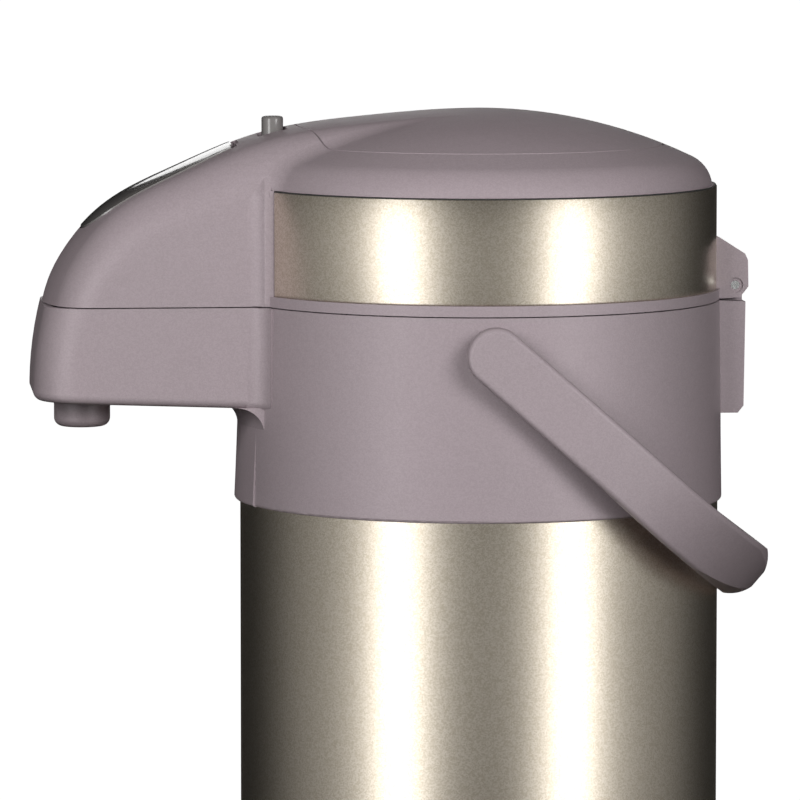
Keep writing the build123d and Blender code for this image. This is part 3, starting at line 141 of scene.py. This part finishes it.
# ---- Finishes ------------------------------------------------------------------------------
class Finish:
    """A procedural material on object coordinates, built up from a base colour, mottling and grain."""

    def __init__(self, name, colour, roughness, metallic=0.0):
        self.material = bpy.data.materials.new(name)
        self.material.use_nodes = True
        self.tree = self.material.node_tree
        self.shader = self.tree.nodes["Principled BSDF"]
        self.shader.inputs["Base Color"].default_value = (*colour, 1)
        self.shader.inputs["Roughness"].default_value = roughness
        self.shader.inputs["Metallic"].default_value = metallic
        self.colour = None
        self.place = self.tree.nodes.new("ShaderNodeTexCoord").outputs["Object"]

    def noise(self, size, stretch=(1, 1, 1), detail=2.0):
        """Soft noise with lumps of the given size in millimetres, drawn out by the stretch along each axis."""
        mapping = self.tree.nodes.new("ShaderNodeMapping")
        mapping.inputs["Scale"].default_value = [1 / (size * MM * share) for share in stretch]
        texture = self.tree.nodes.new("ShaderNodeTexNoise")
        texture.inputs["Scale"].default_value = 1.0
        texture.inputs["Detail"].default_value = detail
        self.tree.links.new(self.place, mapping.inputs["Vector"])
        self.tree.links.new(mapping.outputs["Vector"], texture.inputs["Vector"])
        return texture.outputs["Fac"]

    def flakes(self, size):
        """A random value for each cell of the given size in millimetres."""
        texture = self.tree.nodes.new("ShaderNodeTexVoronoi")
        texture.inputs["Scale"].default_value = 1 / (size * MM)
        self.tree.links.new(self.place, texture.inputs["Vector"])
        return texture.outputs["Color"]

    def ranged(self, value, low, high, spread=0.25):
        """Stretch a value that varies by a spread about one half onto a range."""
        node = self.tree.nodes.new("ShaderNodeMapRange")
        node.inputs["From Min"].default_value = 0.5 - spread
        node.inputs["From Max"].default_value = 0.5 + spread
        node.inputs["To Min"].default_value = low
        node.inputs["To Max"].default_value = high
        self.tree.links.new(value, node.inputs["Value"])
        return node.outputs["Result"]

    def tint(self, value, other, share):
        """Mix the colour so far with another, where the value is high."""
        mix = self.tree.nodes.new("ShaderNodeMix")
        mix.data_type = "RGBA"
        mix.inputs["A"].default_value = self.shader.inputs["Base Color"].default_value
        mix.inputs["B"].default_value = (*other, 1)
        if self.colour:
            self.tree.links.new(self.colour, mix.inputs["A"])
        self.tree.links.new(self.ranged(value, 0, share), mix.inputs["Factor"])
        self.colour = mix.outputs["Result"]
        self.tree.links.new(self.colour, self.shader.inputs["Base Color"])

    def polish(self, value, low, high):
        """Let the roughness wander between two values."""
        self.tree.links.new(self.ranged(value, low, high), self.shader.inputs["Roughness"])

    def grain(self, value, depth):
        """Raise the surface by the value times a depth in millimetres, on top of earlier grain."""
        bump = self.tree.nodes.new("ShaderNodeBump")
        bump.inputs["Strength"].default_value = 1.0
        bump.inputs["Distance"].default_value = depth * MM
        self.tree.links.new(value, bump.inputs["Height"])
        normal = self.shader.inputs["Normal"]
        if normal.is_linked:
            self.tree.links.new(normal.links[0].from_socket, bump.inputs["Normal"])
        self.tree.links.new(bump.outputs["Normal"], normal)

    def set(self, **sockets):
        """Set further sockets of the shader by their names."""
        for name, value in sockets.items():
            self.shader.inputs[name.replace("_", " ")].default_value = value


def mauve_plastic():
    finish = Finish("mauve_plastic", (0.368, 0.306, 0.327), 0.44)
    finish.tint(finish.noise(40), (0.338, 0.288, 0.303), 0.5)
    finish.tint(finish.noise(1.1), (0.3, 0.25, 0.27), 0.25)
    finish.polish(finish.noise(6), 0.4, 0.48)
    finish.tint(finish.flakes(0.4), (0.46, 0.38, 0.42), 0.35)
    finish.grain(finish.noise(0.6, detail=1), 0.04)
    finish.grain(finish.noise(0.35, detail=1), 0.025)
    return finish


def champagne_steel():
    finish = Finish("champagne_steel", (0.77, 0.7, 0.6), 0.33, metallic=1.0)
    finish.tint(finish.flakes(0.4), (0.54, 0.465, 0.34), 0.65)
    finish.polish(finish.noise(0.7), 0.29, 0.37)
    finish.grain(finish.noise(0.6, detail=1), 0.006)
    finish.grain(finish.flakes(0.4), 0.004)
    return finish


def drawn_steel():
    finish = Finish("drawn_steel", (0.63, 0.62, 0.6), 0.24, metallic=1.0)
    finish.tint(finish.noise(0.5, stretch=(1, 1, 40)), (0.5, 0.49, 0.47), 0.5)
    finish.polish(finish.noise(0.7, stretch=(1, 1, 60)), 0.18, 0.3)
    finish.grain(finish.noise(0.4, stretch=(1, 1, 60)), 0.003)
    return finish


def glossy_grey():
    finish = Finish("glossy_grey", (0.23, 0.215, 0.21), 0.16)
    finish.tint(finish.noise(12), (0.2, 0.19, 0.185), 0.6)
    finish.polish(finish.noise(3), 0.12, 0.2)
    finish.set(Coat_Weight=1.0, Coat_Roughness=0.05)
    finish.grain(finish.noise(1.5), 0.002)
    return finish


def white_plastic():
    finish = Finish("white_plastic", (0.74, 0.73, 0.69), 0.42)
    finish.tint(finish.noise(30), (0.68, 0.66, 0.6), 0.5)
    finish.polish(finish.noise(4), 0.36, 0.48)
    finish.grain(finish.noise(0.5), 0.006)
    return finish


def black_plastic():
    finish = Finish("black_plastic", (0.03, 0.03, 0.032), 0.38)
    finish.tint(finish.noise(8), (0.05, 0.05, 0.052), 0.6)
    finish.polish(finish.noise(2), 0.3, 0.46)
    finish.grain(finish.noise(0.4), 0.01)
    return finish


def cast_aluminium():
    finish = Finish("cast_aluminium", (0.56, 0.56, 0.55), 0.42, metallic=1.0)
    finish.tint(finish.noise(5), (0.42, 0.41, 0.4), 0.6)
    finish.polish(finish.noise(1.5), 0.34, 0.52)
    finish.grain(finish.noise(0.8), 0.03)
    return finish


def rolled_sheet():
    finish = Finish("rolled_sheet", (0.66, 0.66, 0.66), 0.3, metallic=1.0)
    finish.tint(finish.noise(1.2, stretch=(30, 1, 1)), (0.52, 0.52, 0.51), 0.5)
    finish.polish(finish.noise(0.8, stretch=(40, 1, 1)), 0.24, 0.38)
    finish.grain(finish.noise(0.5, stretch=(40, 1, 1)), 0.004)
    return finish


def plated_brass():
    finish = Finish("plated_brass", (0.72, 0.53, 0.24), 0.25, metallic=1.0)
    finish.tint(finish.noise(2), (0.55, 0.38, 0.15), 0.5)
    finish.polish(finish.noise(1), 0.2, 0.34)
    finish.grain(finish.noise(0.5), 0.004)
    return finish


def zinc_steel():
    finish = Finish("zinc_steel", (0.6, 0.61, 0.62), 0.28, metallic=1.0)
    finish.tint(finish.noise(3), (0.5, 0.5, 0.46), 0.6)
    finish.polish(finish.noise(0.8), 0.2, 0.38)
    finish.grain(finish.noise(0.5), 0.006)
    return finish


def milky_silicone():
    finish = Finish("milky_silicone", (0.72, 0.71, 0.67), 0.4)
    finish.tint(finish.noise(10), (0.64, 0.62, 0.56), 0.5)
    finish.polish(finish.noise(2), 0.34, 0.48)
    finish.set(Subsurface_Weight=0.2, Subsurface_Scale=0.003)
    finish.grain(finish.noise(0.8), 0.006)
    return finish


def black_rubber():
    finish = Finish("black_rubber", (0.025, 0.025, 0.025), 0.7)
    finish.tint(finish.noise(4), (0.045, 0.043, 0.04), 0.7)
    finish.polish(finish.noise(1.5), 0.62, 0.8)
    finish.grain(finish.noise(0.5), 0.02)
    return finish


def needled_felt():
    finish = Finish("needled_felt", (0.58, 0.56, 0.5), 0.9)
    finish.tint(finish.noise(1.2, stretch=(3, 1, 1)), (0.4, 0.38, 0.33), 0.7)
    finish.set(Sheen_Weight=0.4, Sheen_Roughness=0.5)
    finish.grain(finish.noise(3), 0.5)
    finish.grain(finish.noise(0.5, stretch=(4, 1, 1)), 0.15)
    return finish


def sleeved_wire():
    finish = Finish("sleeved_wire", (0.42, 0.07, 0.055), 0.45)
    finish.tint(finish.noise(2), (0.32, 0.05, 0.04), 0.7)
    finish.polish(finish.noise(1), 0.38, 0.54)
    finish.grain(finish.flakes(0.5), 0.02)
    return finish


FINISHES = {
    "textured_plastic": mauve_plastic, "satin_steel": champagne_steel, "plain_steel": drawn_steel,
    "gloss_grey": glossy_grey, "white_plastic": white_plastic, "dark_plastic": black_plastic,
    "heater_metal": cast_aluminium, "sheet_metal": rolled_sheet, "brass": plated_brass,
    "screw_steel": zinc_steel, "silicone": milky_silicone, "black_rubber": black_rubber,
    "felt": needled_felt, "wire_sleeve": sleeved_wire,
}


def finish_nodes(frame, materials):
    """Give every carried-over node the finish of its material slot."""
    for subpart in frame["record"]["subparts"]:
        node = frame["nodes"][subpart["node"]]
        for slot in node.material_slots:
            slot.material = materials[subpart["material_slot"]]


# ---- Modelling -----------------------------------------------------------------------------
def add_primitive(name, add, **settings):
    """Deselect everything and add a primitive under a name."""
    bpy.ops.object.select_all(action="DESELECT")
    add(**settings)
    piece = bpy.context.object
    piece.name = name
    return piece


def begin(name, add, **settings):
    """Start a piece from a primitive, with its place in its mesh."""
    piece = add_primitive(name, add, **settings)
    bpy.ops.object.transform_apply(location=True, rotation=True, scale=True)
    return piece


def select_only(piece):
    bpy.ops.object.select_all(action="DESELECT")
    piece.select_set(True)
    bpy.context.view_layer.objects.active = piece


def edit_faces(piece):
    """Enter edit mode on one piece, selecting by face."""
    bpy.context.view_layer.objects.active = piece
    bpy.ops.object.mode_set(mode="EDIT")
    bpy.ops.mesh.select_mode(type="FACE")


def pick_faces(piece, wanted):
    """In edit mode, select the faces for which the test on their middle holds."""
    shape = bmesh.from_edit_mesh(piece.data)
    bpy.ops.mesh.select_all(action="DESELECT")
    for face in shape.faces:
        middle = sum((corner.co for corner in face.verts), Vector()) / len(face.verts)
        if wanted(middle):
            face.select_set(True)
    bmesh.update_edit_mesh(piece.data)


def cut_across(place, normal, **settings):
    """In edit mode, cut all the faces along a plane."""
    bpy.ops.mesh.select_all(action="SELECT")
    bpy.ops.mesh.bisect(plane_co=place, plane_no=normal, **settings)


def modify(piece, kind, **settings):
    """Add a modifier to a piece and apply it."""
    modifier = piece.modifiers.new(kind.lower(), kind)
    for name, value in settings.items():
        setattr(modifier, name, value)
    select_only(piece)
    bpy.ops.object.modifier_apply(modifier=modifier.name)


def finish_piece(piece, materials, slot, body):
    """Smooth a piece, give it its material and let it ride on its body."""
    select_only(piece)
    bpy.ops.object.shade_smooth_by_angle(angle=math.radians(SMOOTH_ANGLE))
    piece.data.materials.clear()
    piece.data.materials.append(materials[slot])
    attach(piece, body)


# ---- Steel walls ---------------------------------------------------------------------------
def round_wall(name, node, sunk=0.0, lowered=0.0):
    """A thin round wall of a node's size, or somewhat smaller, not yet thickened."""
    low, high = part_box(node)
    top = high[2] - lowered
    return begin(name, bpy.ops.mesh.primitive_cylinder_add, vertices=WALL_SEGMENTS, radius=high[0] - sunk,
                 depth=top - low[2], end_fill_type="NOTHING", location=(0, 0, (low[2] + top) / 2))


def thicken(piece, wall):
    """Thicken a wall inwards and break its edges."""
    modify(piece, "SOLIDIFY", thickness=wall, offset=-1)
    modify(piece, "BEVEL", width=STEEL_EDGE, segments=2, limit_method="ANGLE",
           angle_limit=math.radians(STEEL_EDGE_ANGLE))


def make_body_wall(materials):
    """The steel wall of the pot."""
    wall = round_wall("body_wall", "outer_shell")
    thicken(wall, SHELL_WALL)
    finish_piece(wall, materials, "satin_steel", "pot")
    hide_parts("outer_shell")


def cut_openings(band, front_gap):
    """Cut a band away at the spout and round the hinge ear."""
    edit_faces(band)
    for cut in (-front_gap, -BAND_REAR_GAP, BAND_REAR_GAP, front_gap):
        cut_across((cut, 0, 0), (1, 0, 0))
    cut_across((0, 0, BAND_REAR_TOP), (0, 0, 1))
    pick_faces(band, lambda middle: middle.y < 0 and abs(middle.x) < front_gap)
    bpy.ops.mesh.delete(type="FACE")
    pick_faces(band, lambda middle: middle.y > 0 and middle.z < BAND_REAR_TOP
               and abs(middle.x) < BAND_REAR_GAP)
    bpy.ops.mesh.delete(type="FACE")
    bpy.ops.object.mode_set(mode="OBJECT")


def make_band(materials):
    """The lid's steel band, and a dark ring of painted shade that shows as a line along its upper and front
    edges, where the gap's shadow falls.
    """
    band = round_wall("steel_band", "lid_band", lowered=BAND_REVEAL)
    cut_openings(band, BAND_FRONT_GAP + BAND_REVEAL)
    thicken(band, BAND_WALL)
    finish_piece(band, materials, "satin_steel", "lid")
    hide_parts("lid_band")
    # A black ring in the gap along the band's edges: painted shade standing in for the gap's shadow.
    shade_ring = round_wall("band_shade_ring", "lid_band", sunk=SHADE_RING_SINK)
    cut_openings(shade_ring, BAND_FRONT_GAP)
    thicken(shade_ring, BAND_WALL - 2 * SHADE_RING_SINK)
    finish_piece(shade_ring, materials, "black_rubber", "lid")


# ---- Bellows and spring --------------------------------------------------------------------
def make_folding(frame, materials):
    """Copies of the record's deforming pieces under the push plate, riding on the lid in place of the
    originals, which are hidden.
    """
    slots = {subpart["node"]: subpart["material_slot"] for subpart in frame["record"]["subparts"]}
    for joint in frame["record"]["behaviour"]["joints"]:
        for folding in joint.get("deforming_nodes", ()):
            node = folding["node"]
            piece = bpy.data.objects.new(f"folding_{node}", frame["nodes"][node].data.copy())
            bpy.context.collection.objects.link(piece)
            finish_piece(piece, materials, slots[node], "lid")
            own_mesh(piece)
            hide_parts(node)


# ---- Blends along the crease between the lid's dome and the spout's ridge -------------------
def off_dome(point):
    """How far a point lies from the dome's crown or shoulder."""
    out = math.hypot(point.x, point.y)
    crown = abs(math.hypot(out, point.z - DOME_CENTRE) - DOME_RADIUS)
    shoulder = abs(math.hypot(out - SHOULDER_OUT, point.z - SHOULDER_HEIGHT) - SHOULDER_RADIUS)
    return min(crown, shoulder)


def off_seam(point):
    """How far a point lies from the round wall of the push plate's seam."""
    return abs(math.hypot(point.x, point.y) - SEAM_RADIUS)


def on_crease(edge, on_dome):
    """Whether an edge lies between the dome and the ridge, at +X and clear of the seam."""
    others = [face for face in edge.link_faces if face not in on_dome]
    if len(edge.link_faces) != 2 or len(others) != 1 or others[0].normal.z <= CREASE_FACING:
        return False
    middle = (edge.verts[0].co + edge.verts[1].co) / 2
    in_front = middle.x > CREASE_MIDDLE and middle.y < 0 and middle.z > RING_BOTTOM + WELD
    return in_front and off_seam(middle) > SEAM_REACH


def search_tree(faces):
    """A search tree of some triangles."""
    corners = [corner.co.copy() for face in faces for corner in face.verts]
    triangles = [(first, first + 1, first + 2) for first in range(0, len(corners), 3)]
    return BVHTree.FromPolygons(corners, triangles)


def crease_skins(*nodes):
    """Search trees of some nodes' dome and of the rest of them, and the crease's points from the spout on."""
    shape = bmesh.new()
    for node in nodes:
        shape.from_mesh(node.data)
    bmesh.ops.remove_doubles(shape, verts=shape.verts, dist=WELD)
    on_dome = {face for face in shape.faces
               if all(off_dome(corner.co) < DOME_TOLERANCE for corner in face.verts)}
    at_seam = {face for face in shape.faces
               if all(off_seam(corner.co) < SEAM_REACH for corner in face.verts)}
    crease = set()
    for edge in shape.edges:
        if on_crease(edge, on_dome):
            crease.update(corner.co.copy().freeze() for corner in edge.verts)
    dome = search_tree([face for face in shape.faces if face in on_dome])
    rest = search_tree([face for face in shape.faces if face not in on_dome and face not in at_seam])
    shape.free()
    return (dome, rest), sorted(crease, key=lambda point: point.y)


def even_points(points, step):
    """Points at even steps along a run of points, eased several times with its ends held."""
    lengths = [0.0]
    for first, second in zip(points, points[1:]):
        lengths.append(lengths[-1] + (second - first).length)
    count = int(lengths[-1] / step)
    evened = []
    for number in range(count + 1):
        wanted = lengths[-1] * number / count
        place = max(index for index, length in enumerate(lengths[:-1]) if length <= wanted + WELD)
        share = (wanted - lengths[place]) / (lengths[place + 1] - lengths[place])
        evened.append(points[place].lerp(points[place + 1], share))
    for _ in range(CREASE_EASING):
        inner = [(before + 2 * middle + after) / 4
                 for before, middle, after in zip(evened, evened[1:], evened[2:])]
        evened = [evened[0], *inner, evened[-1]]
    return evened


def blend_radius(height):
    """The blend's radius grows with height, fastest over the push plate."""
    for (low, wide), (high, wide_above) in zip(BLEND_RADII, BLEND_RADII[1:]):
        if height < high:
            return wide + (wide_above - wide) * max(height - low, 0) / (high - low)
    return BLEND_RADII[-1][1]


def rolling_section(point, along, trees):
    """The arc that a ball leaves where it rests against both skins, in the plane across the crease."""
    radius = blend_radius(point.z)
    normals = [tree.find_nearest(point)[1] for tree in trees]
    out = (normals[0] + normals[1]).normalized()
    out = (out - out.dot(along) * along).normalized()
    side = along.cross(out)
    centre = point + out * radius
    for _ in range(ROLLING_ROUNDS):
        pulls = []
        for tree in trees:
            touch, _, _, distance = tree.find_nearest(centre)
            pulls.append(((centre - touch).normalized(), distance - radius))
        (first, first_gap), (second, second_gap) = pulls
        matrix = ((first.dot(out), first.dot(side)), (second.dot(out), second.dot(side)))
        opening = matrix[0][0] * matrix[1][1] - matrix[0][1] * matrix[1][0]
        if abs(opening) < FADED:
            return None
        step_out = (-first_gap * matrix[1][1] + second_gap * matrix[0][1]) / opening
        step_side = (-second_gap * matrix[0][0] + first_gap * matrix[1][0]) / opening
        centre = centre + out * step_out + side * step_side
    span = first.angle(second)
    arc = []
    for number in range(BLEND_STEPS + 1):
        share = number / BLEND_STEPS
        spoke = (first * math.sin((1 - share) * span) + second * math.sin(share * span)) / math.sin(span)
        arc.append(centre - spoke * (radius + BLEND_BURIAL * (number in (0, BLEND_STEPS))))
    return arc + [point - out * BLEND_ROOT]


def closed_strip(name, sections, side):
    """A closed strip through the sections, on one side of the pot."""
    shape = bmesh.new()
    rings = [[shape.verts.new((side * point.x, point.y, point.z)) for point in section]
             for section in sections]
    for ring, following in zip(rings, rings[1:]):
        for index in range(len(ring)):
            after = (index + 1) % len(ring)
            shape.faces.new((ring[index], ring[after], following[after], following[index]))
    for ring in (rings[0], rings[-1]):
        shape.faces.new(ring)
    bmesh.ops.recalc_face_normals(shape, faces=shape.faces)
    mesh = bpy.data.meshes.new(name)
    shape.to_mesh(mesh)
    shape.free()
    piece = bpy.data.objects.new(name, mesh)
    bpy.context.collection.objects.link(piece)
    return piece


def cut_at_seam(piece, operation, radius):
    """Keep what lies inside or outside the push plate's seam."""
    cutter = begin("cutter", bpy.ops.mesh.primitive_cylinder_add, vertices=WALL_SEGMENTS, radius=radius,
                   depth=SEAM_CUTTER_DEPTH, location=(0, 0, RING_BOTTOM))
    modify(piece, "BOOLEAN", operation=operation, object=cutter, solver="EXACT")
    bpy.data.objects.remove(cutter)


def make_blends(frame, materials):
    """Round out the crease on both sides, as one strip on the lid and one on the push plate."""
    trees, crease = crease_skins(frame["nodes"]["lid_frame"], frame["nodes"]["push_plate"])
    path = even_points(crease, CREASE_STEP)
    sections = []
    for before, point, after in zip(path, path[1:], path[2:]):
        section = rolling_section(point, (after - before).normalized(), trees)
        if section:
            sections.append(section)
    down = (path[0] - path[1]).normalized() * BLEND_FOOT
    sections.insert(0, [point + down for point in sections[0]])
    for side, hand in HANDS:
        for body, operation, radius in (("lid", "DIFFERENCE", SEAM_RADIUS),
                                        ("push_plate", "INTERSECT", PLATE_RADIUS)):
            strip = closed_strip(f"crease_blend_{body}_{hand}", sections, side)
            cut_at_seam(strip, operation, radius)
            edit_faces(strip)
            cut_across((0, 0, BLEND_BOTTOM), (0, 0, 1), use_fill=True, clear_inner=True)
            bpy.ops.object.mode_set(mode="OBJECT")
            finish_piece(strip, materials, "textured_plastic", body)


# ---- Hollow sweeps at the spout's root -----------------------------------------------------
def root_sweep(turn):
    """The hollow of the spout's root in plan, from just inside its side wall through an angle."""
    outline = [(SPOUT_SIDE - BLEND_BURIAL, ROOT_START)]
    for number in range(1, ROOT_STEPS + 1):
        angle = math.radians(turn * number / ROOT_STEPS)
        out = SPOUT_SIDE + ROOT_RADIUS * (1 - math.cos(angle))
        outline.append((out, ROOT_START + ROOT_RADIUS * math.sin(angle)))
    return outline


def lid_root():
    """The lid's strip in plan: its sweep ends in a small round edge, from where it runs straight back."""
    outline = root_sweep(LID_SWEEP)
    tilt = math.radians(LID_SWEEP)
    out, back = outline[-1]
    middle = (out - LID_ROLL * math.cos(tilt), back + LID_ROLL * math.sin(tilt))
    for number in range(1, ROOT_STEPS + 1):
        angle = tilt * (1 - number / ROOT_STEPS)
        outline.append((middle[0] + LID_ROLL * math.cos(angle), middle[1] - LID_ROLL * math.sin(angle)))
    outline.append((outline[-1][0], LID_STRIP_END))
    outline.append((SPOUT_SIDE + LID_HEEL, LID_STRIP_END))
    outline.append((SPOUT_SIDE - ROOT_BURIAL, ROOT_START + LID_BACK))
    return outline


def collar_root():
    """The collar's strip in plan: its sweep runs out into the round wall."""
    outline = root_sweep(COLLAR_SWEEP)
    out, back = outline[-1]
    outline.append((out - COLLAR_HEEL[0], back + COLLAR_HEEL[1]))
    outline.append((SPOUT_SIDE - ROOT_BURIAL, ROOT_START + COLLAR_BACK))
    return outline


def make_roots(materials):
    """Carry the spout's side walls over onto the lid and the collar in a hollow sweep."""
    for body, outline, foot, taper in (("lid", lid_root(), LID_FOOT, LID_TAPER),
                                       ("pot", collar_root(), COLLAR_FOOT, COLLAR_TAPER)):
        sections = [[Vector((out - inset, back, foot + up)) for out, back in outline]
                    for up, inset in taper]
        for side, hand in HANDS:
            strip = closed_strip(f"spout_root_{body}_{hand}", sections, side)
            finish_piece(strip, materials, "textured_plastic", body)


# ---- Studio --------------------------------------------------------------------------------
def around(distance, turn, height):
    """A place at a distance from the pot's axis, turned from +X by an angle."""
    angle = math.radians(turn)
    return Vector((distance * math.cos(angle), distance * math.sin(angle), height))


def look(thing, target):
    """Turn a camera, light or card towards a point."""
    thing.rotation_euler = (target - thing.location).to_track_quat("-Z", "Y").to_euler()


def set_camera():
    """A long lens beside the pot, a little above the lid."""
    data = bpy.data.cameras.new("camera")
    data.lens = CAMERA_LENS
    data.sensor_width = SENSOR_WIDTH
    data.clip_end = 3 * BACKDROP_RADIUS
    camera = bpy.data.objects.new("camera", data)
    bpy.context.collection.objects.link(camera)
    camera.location = around(CAMERA_DISTANCE, CAMERA_TURN, CAMERA_HEIGHT)
    look(camera, around(AIM_OFFSET, CAMERA_TURN - 90, AIM_HEIGHT))
    bpy.context.scene.camera = camera


def add_softbox(name, place, target, power, mirrored):
    """A square light that the camera doesn't see."""
    data = bpy.data.lights.new(name, "AREA")
    data.size = KEY_SIZE
    data.energy = power
    light = bpy.data.objects.new(name, data)
    bpy.context.collection.objects.link(light)
    light.location = place
    light.visible_camera = False
    light.visible_glossy = mirrored
    look(light, target)


def light_studio():
    """The softboxes round the pot, and a faint warm light from all sides."""
    middle = Vector((0, 0, AIM_HEIGHT))
    for name, turn, rise, power, mirrored in KEYS:
        out = KEY_DISTANCE * math.cos(math.radians(rise))
        up = KEY_DISTANCE * math.sin(math.radians(rise))
        add_softbox(name, middle + around(out, CAMERA_TURN + turn, up), middle, power, mirrored)
    world = bpy.data.worlds.new("studio")
    world.use_nodes = True
    background = world.node_tree.nodes["Background"]
    background.inputs["Color"].default_value = (*AMBIENT_COLOUR, 1)
    background.inputs["Strength"].default_value = AMBIENT_STRENGTH
    bpy.context.scene.world = world
    bpy.context.scene.view_settings.view_transform = "Standard"


def hide_from(thing, *rays):
    """Keep some kinds of rays from meeting a piece of the studio."""
    for kind in rays:
        setattr(thing, f"visible_{kind}", False)


def only_mirrored(thing):
    """Let a piece of the studio be seen in shiny surfaces alone."""
    hide_from(thing, "camera", "diffuse", "transmission", "shadow")


def plain_white(name, brightness):
    """A white that glows by itself."""
    finish = Finish(name, (0.8, 0.8, 0.8), 0.9)
    finish.set(Emission_Color=(1, 1, 1, 1), Emission_Strength=brightness)
    return finish.material


def cove_glow():
    """A glow that depends on the angle from the cove's front."""
    finish = Finish("cove_glow", (0, 0, 0), 1.0)
    radial = finish.tree.nodes.new("ShaderNodeTexGradient")
    radial.gradient_type = "RADIAL"
    finish.tree.links.new(finish.place, radial.inputs["Vector"])
    half_turns = finish.ranged(radial.outputs["Fac"], -1, 1, spread=0.5)
    turn = finish.tree.nodes.new("ShaderNodeMath")
    turn.operation = "ABSOLUTE"
    finish.tree.links.new(half_turns, turn.inputs[0])
    ramp = finish.tree.nodes.new("ShaderNodeValToRGB")
    stops = ramp.color_ramp.elements
    while len(stops) < len(COVE_PROFILE):
        stops.new(0.5)
    brightest = max(glow for _, glow in COVE_PROFILE)
    for stop, (angle, glow) in zip(stops, COVE_PROFILE):
        stop.position = angle / 180
        stop.color = (*[glow / brightest] * 3, 1)
    finish.tree.links.new(turn.outputs["Value"], ramp.inputs["Fac"])
    finish.tree.links.new(ramp.outputs["Color"], finish.shader.inputs["Emission Color"])
    finish.set(Emission_Strength=brightest)
    return finish.material


def add_cove():
    """The wall of light, with its front near the camera's side."""
    cove = add_primitive("cove", bpy.ops.mesh.primitive_cylinder_add, vertices=STAGE_SEGMENTS,
                         radius=COVE_RADIUS, depth=COVE_TOP - COVE_BOTTOM, end_fill_type="NOTHING",
                         location=(0, 0, (COVE_TOP + COVE_BOTTOM) / 2),
                         rotation=(0, 0, math.radians(CAMERA_TURN + COVE_TURN)))
    cove.data.materials.append(cove_glow())
    only_mirrored(cove)


def add_card():
    """The white card, facing the lid from behind."""
    rise = math.radians(CARD_RISE)
    height = RING_BOTTOM + CARD_DISTANCE * math.sin(rise)
    place = around(CARD_DISTANCE * math.cos(rise), CAMERA_TURN + 180 + CARD_TURN, height)
    card = add_primitive("card", bpy.ops.mesh.primitive_plane_add, size=1, location=place)
    card.scale = (CARD_WIDTH, CARD_HEIGHT, 1)
    look(card, Vector((0, 0, RING_BOTTOM)))
    card.data.materials.append(plain_white("card_white", CARD_BRIGHTNESS))
    only_mirrored(card)


def set_stage():
    """A pale floor, a white backdrop all round, and what only the steel and the gloss see."""
    floor = add_primitive("floor", bpy.ops.mesh.primitive_circle_add, vertices=STAGE_SEGMENTS,
                          radius=FLOOR_RADIUS, fill_type="NGON")
    floor.data.materials.append(plain_white("pale_floor", FLOOR_BRIGHTNESS))
    hide_from(floor, "diffuse", "glossy")
    backdrop = add_primitive("backdrop", bpy.ops.mesh.primitive_uv_sphere_add, segments=48, ring_count=24,
                             radius=BACKDROP_RADIUS)
    backdrop.data.materials.append(plain_white("white_backdrop", BACKDROP_BRIGHTNESS))
    hide_from(backdrop, "diffuse", "glossy", "transmission", "shadow")
    add_cove()
    add_card()


# ---- The pot -------------------------------------------------------------------------------
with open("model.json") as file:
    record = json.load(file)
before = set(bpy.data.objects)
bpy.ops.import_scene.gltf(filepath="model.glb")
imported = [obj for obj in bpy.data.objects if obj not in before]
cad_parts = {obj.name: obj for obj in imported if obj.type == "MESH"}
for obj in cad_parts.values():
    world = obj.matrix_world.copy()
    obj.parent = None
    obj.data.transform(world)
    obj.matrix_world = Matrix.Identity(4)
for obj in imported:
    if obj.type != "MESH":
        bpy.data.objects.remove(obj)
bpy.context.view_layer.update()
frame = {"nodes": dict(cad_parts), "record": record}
materials = {slot: make().material for slot, make in FINISHES.items()}
finish_nodes(frame, materials)
make_body_wall(materials)
make_band(materials)
make_blends(frame, materials)
make_roots(materials)
make_folding(frame, materials)
set_camera()
light_studio()
set_stage()
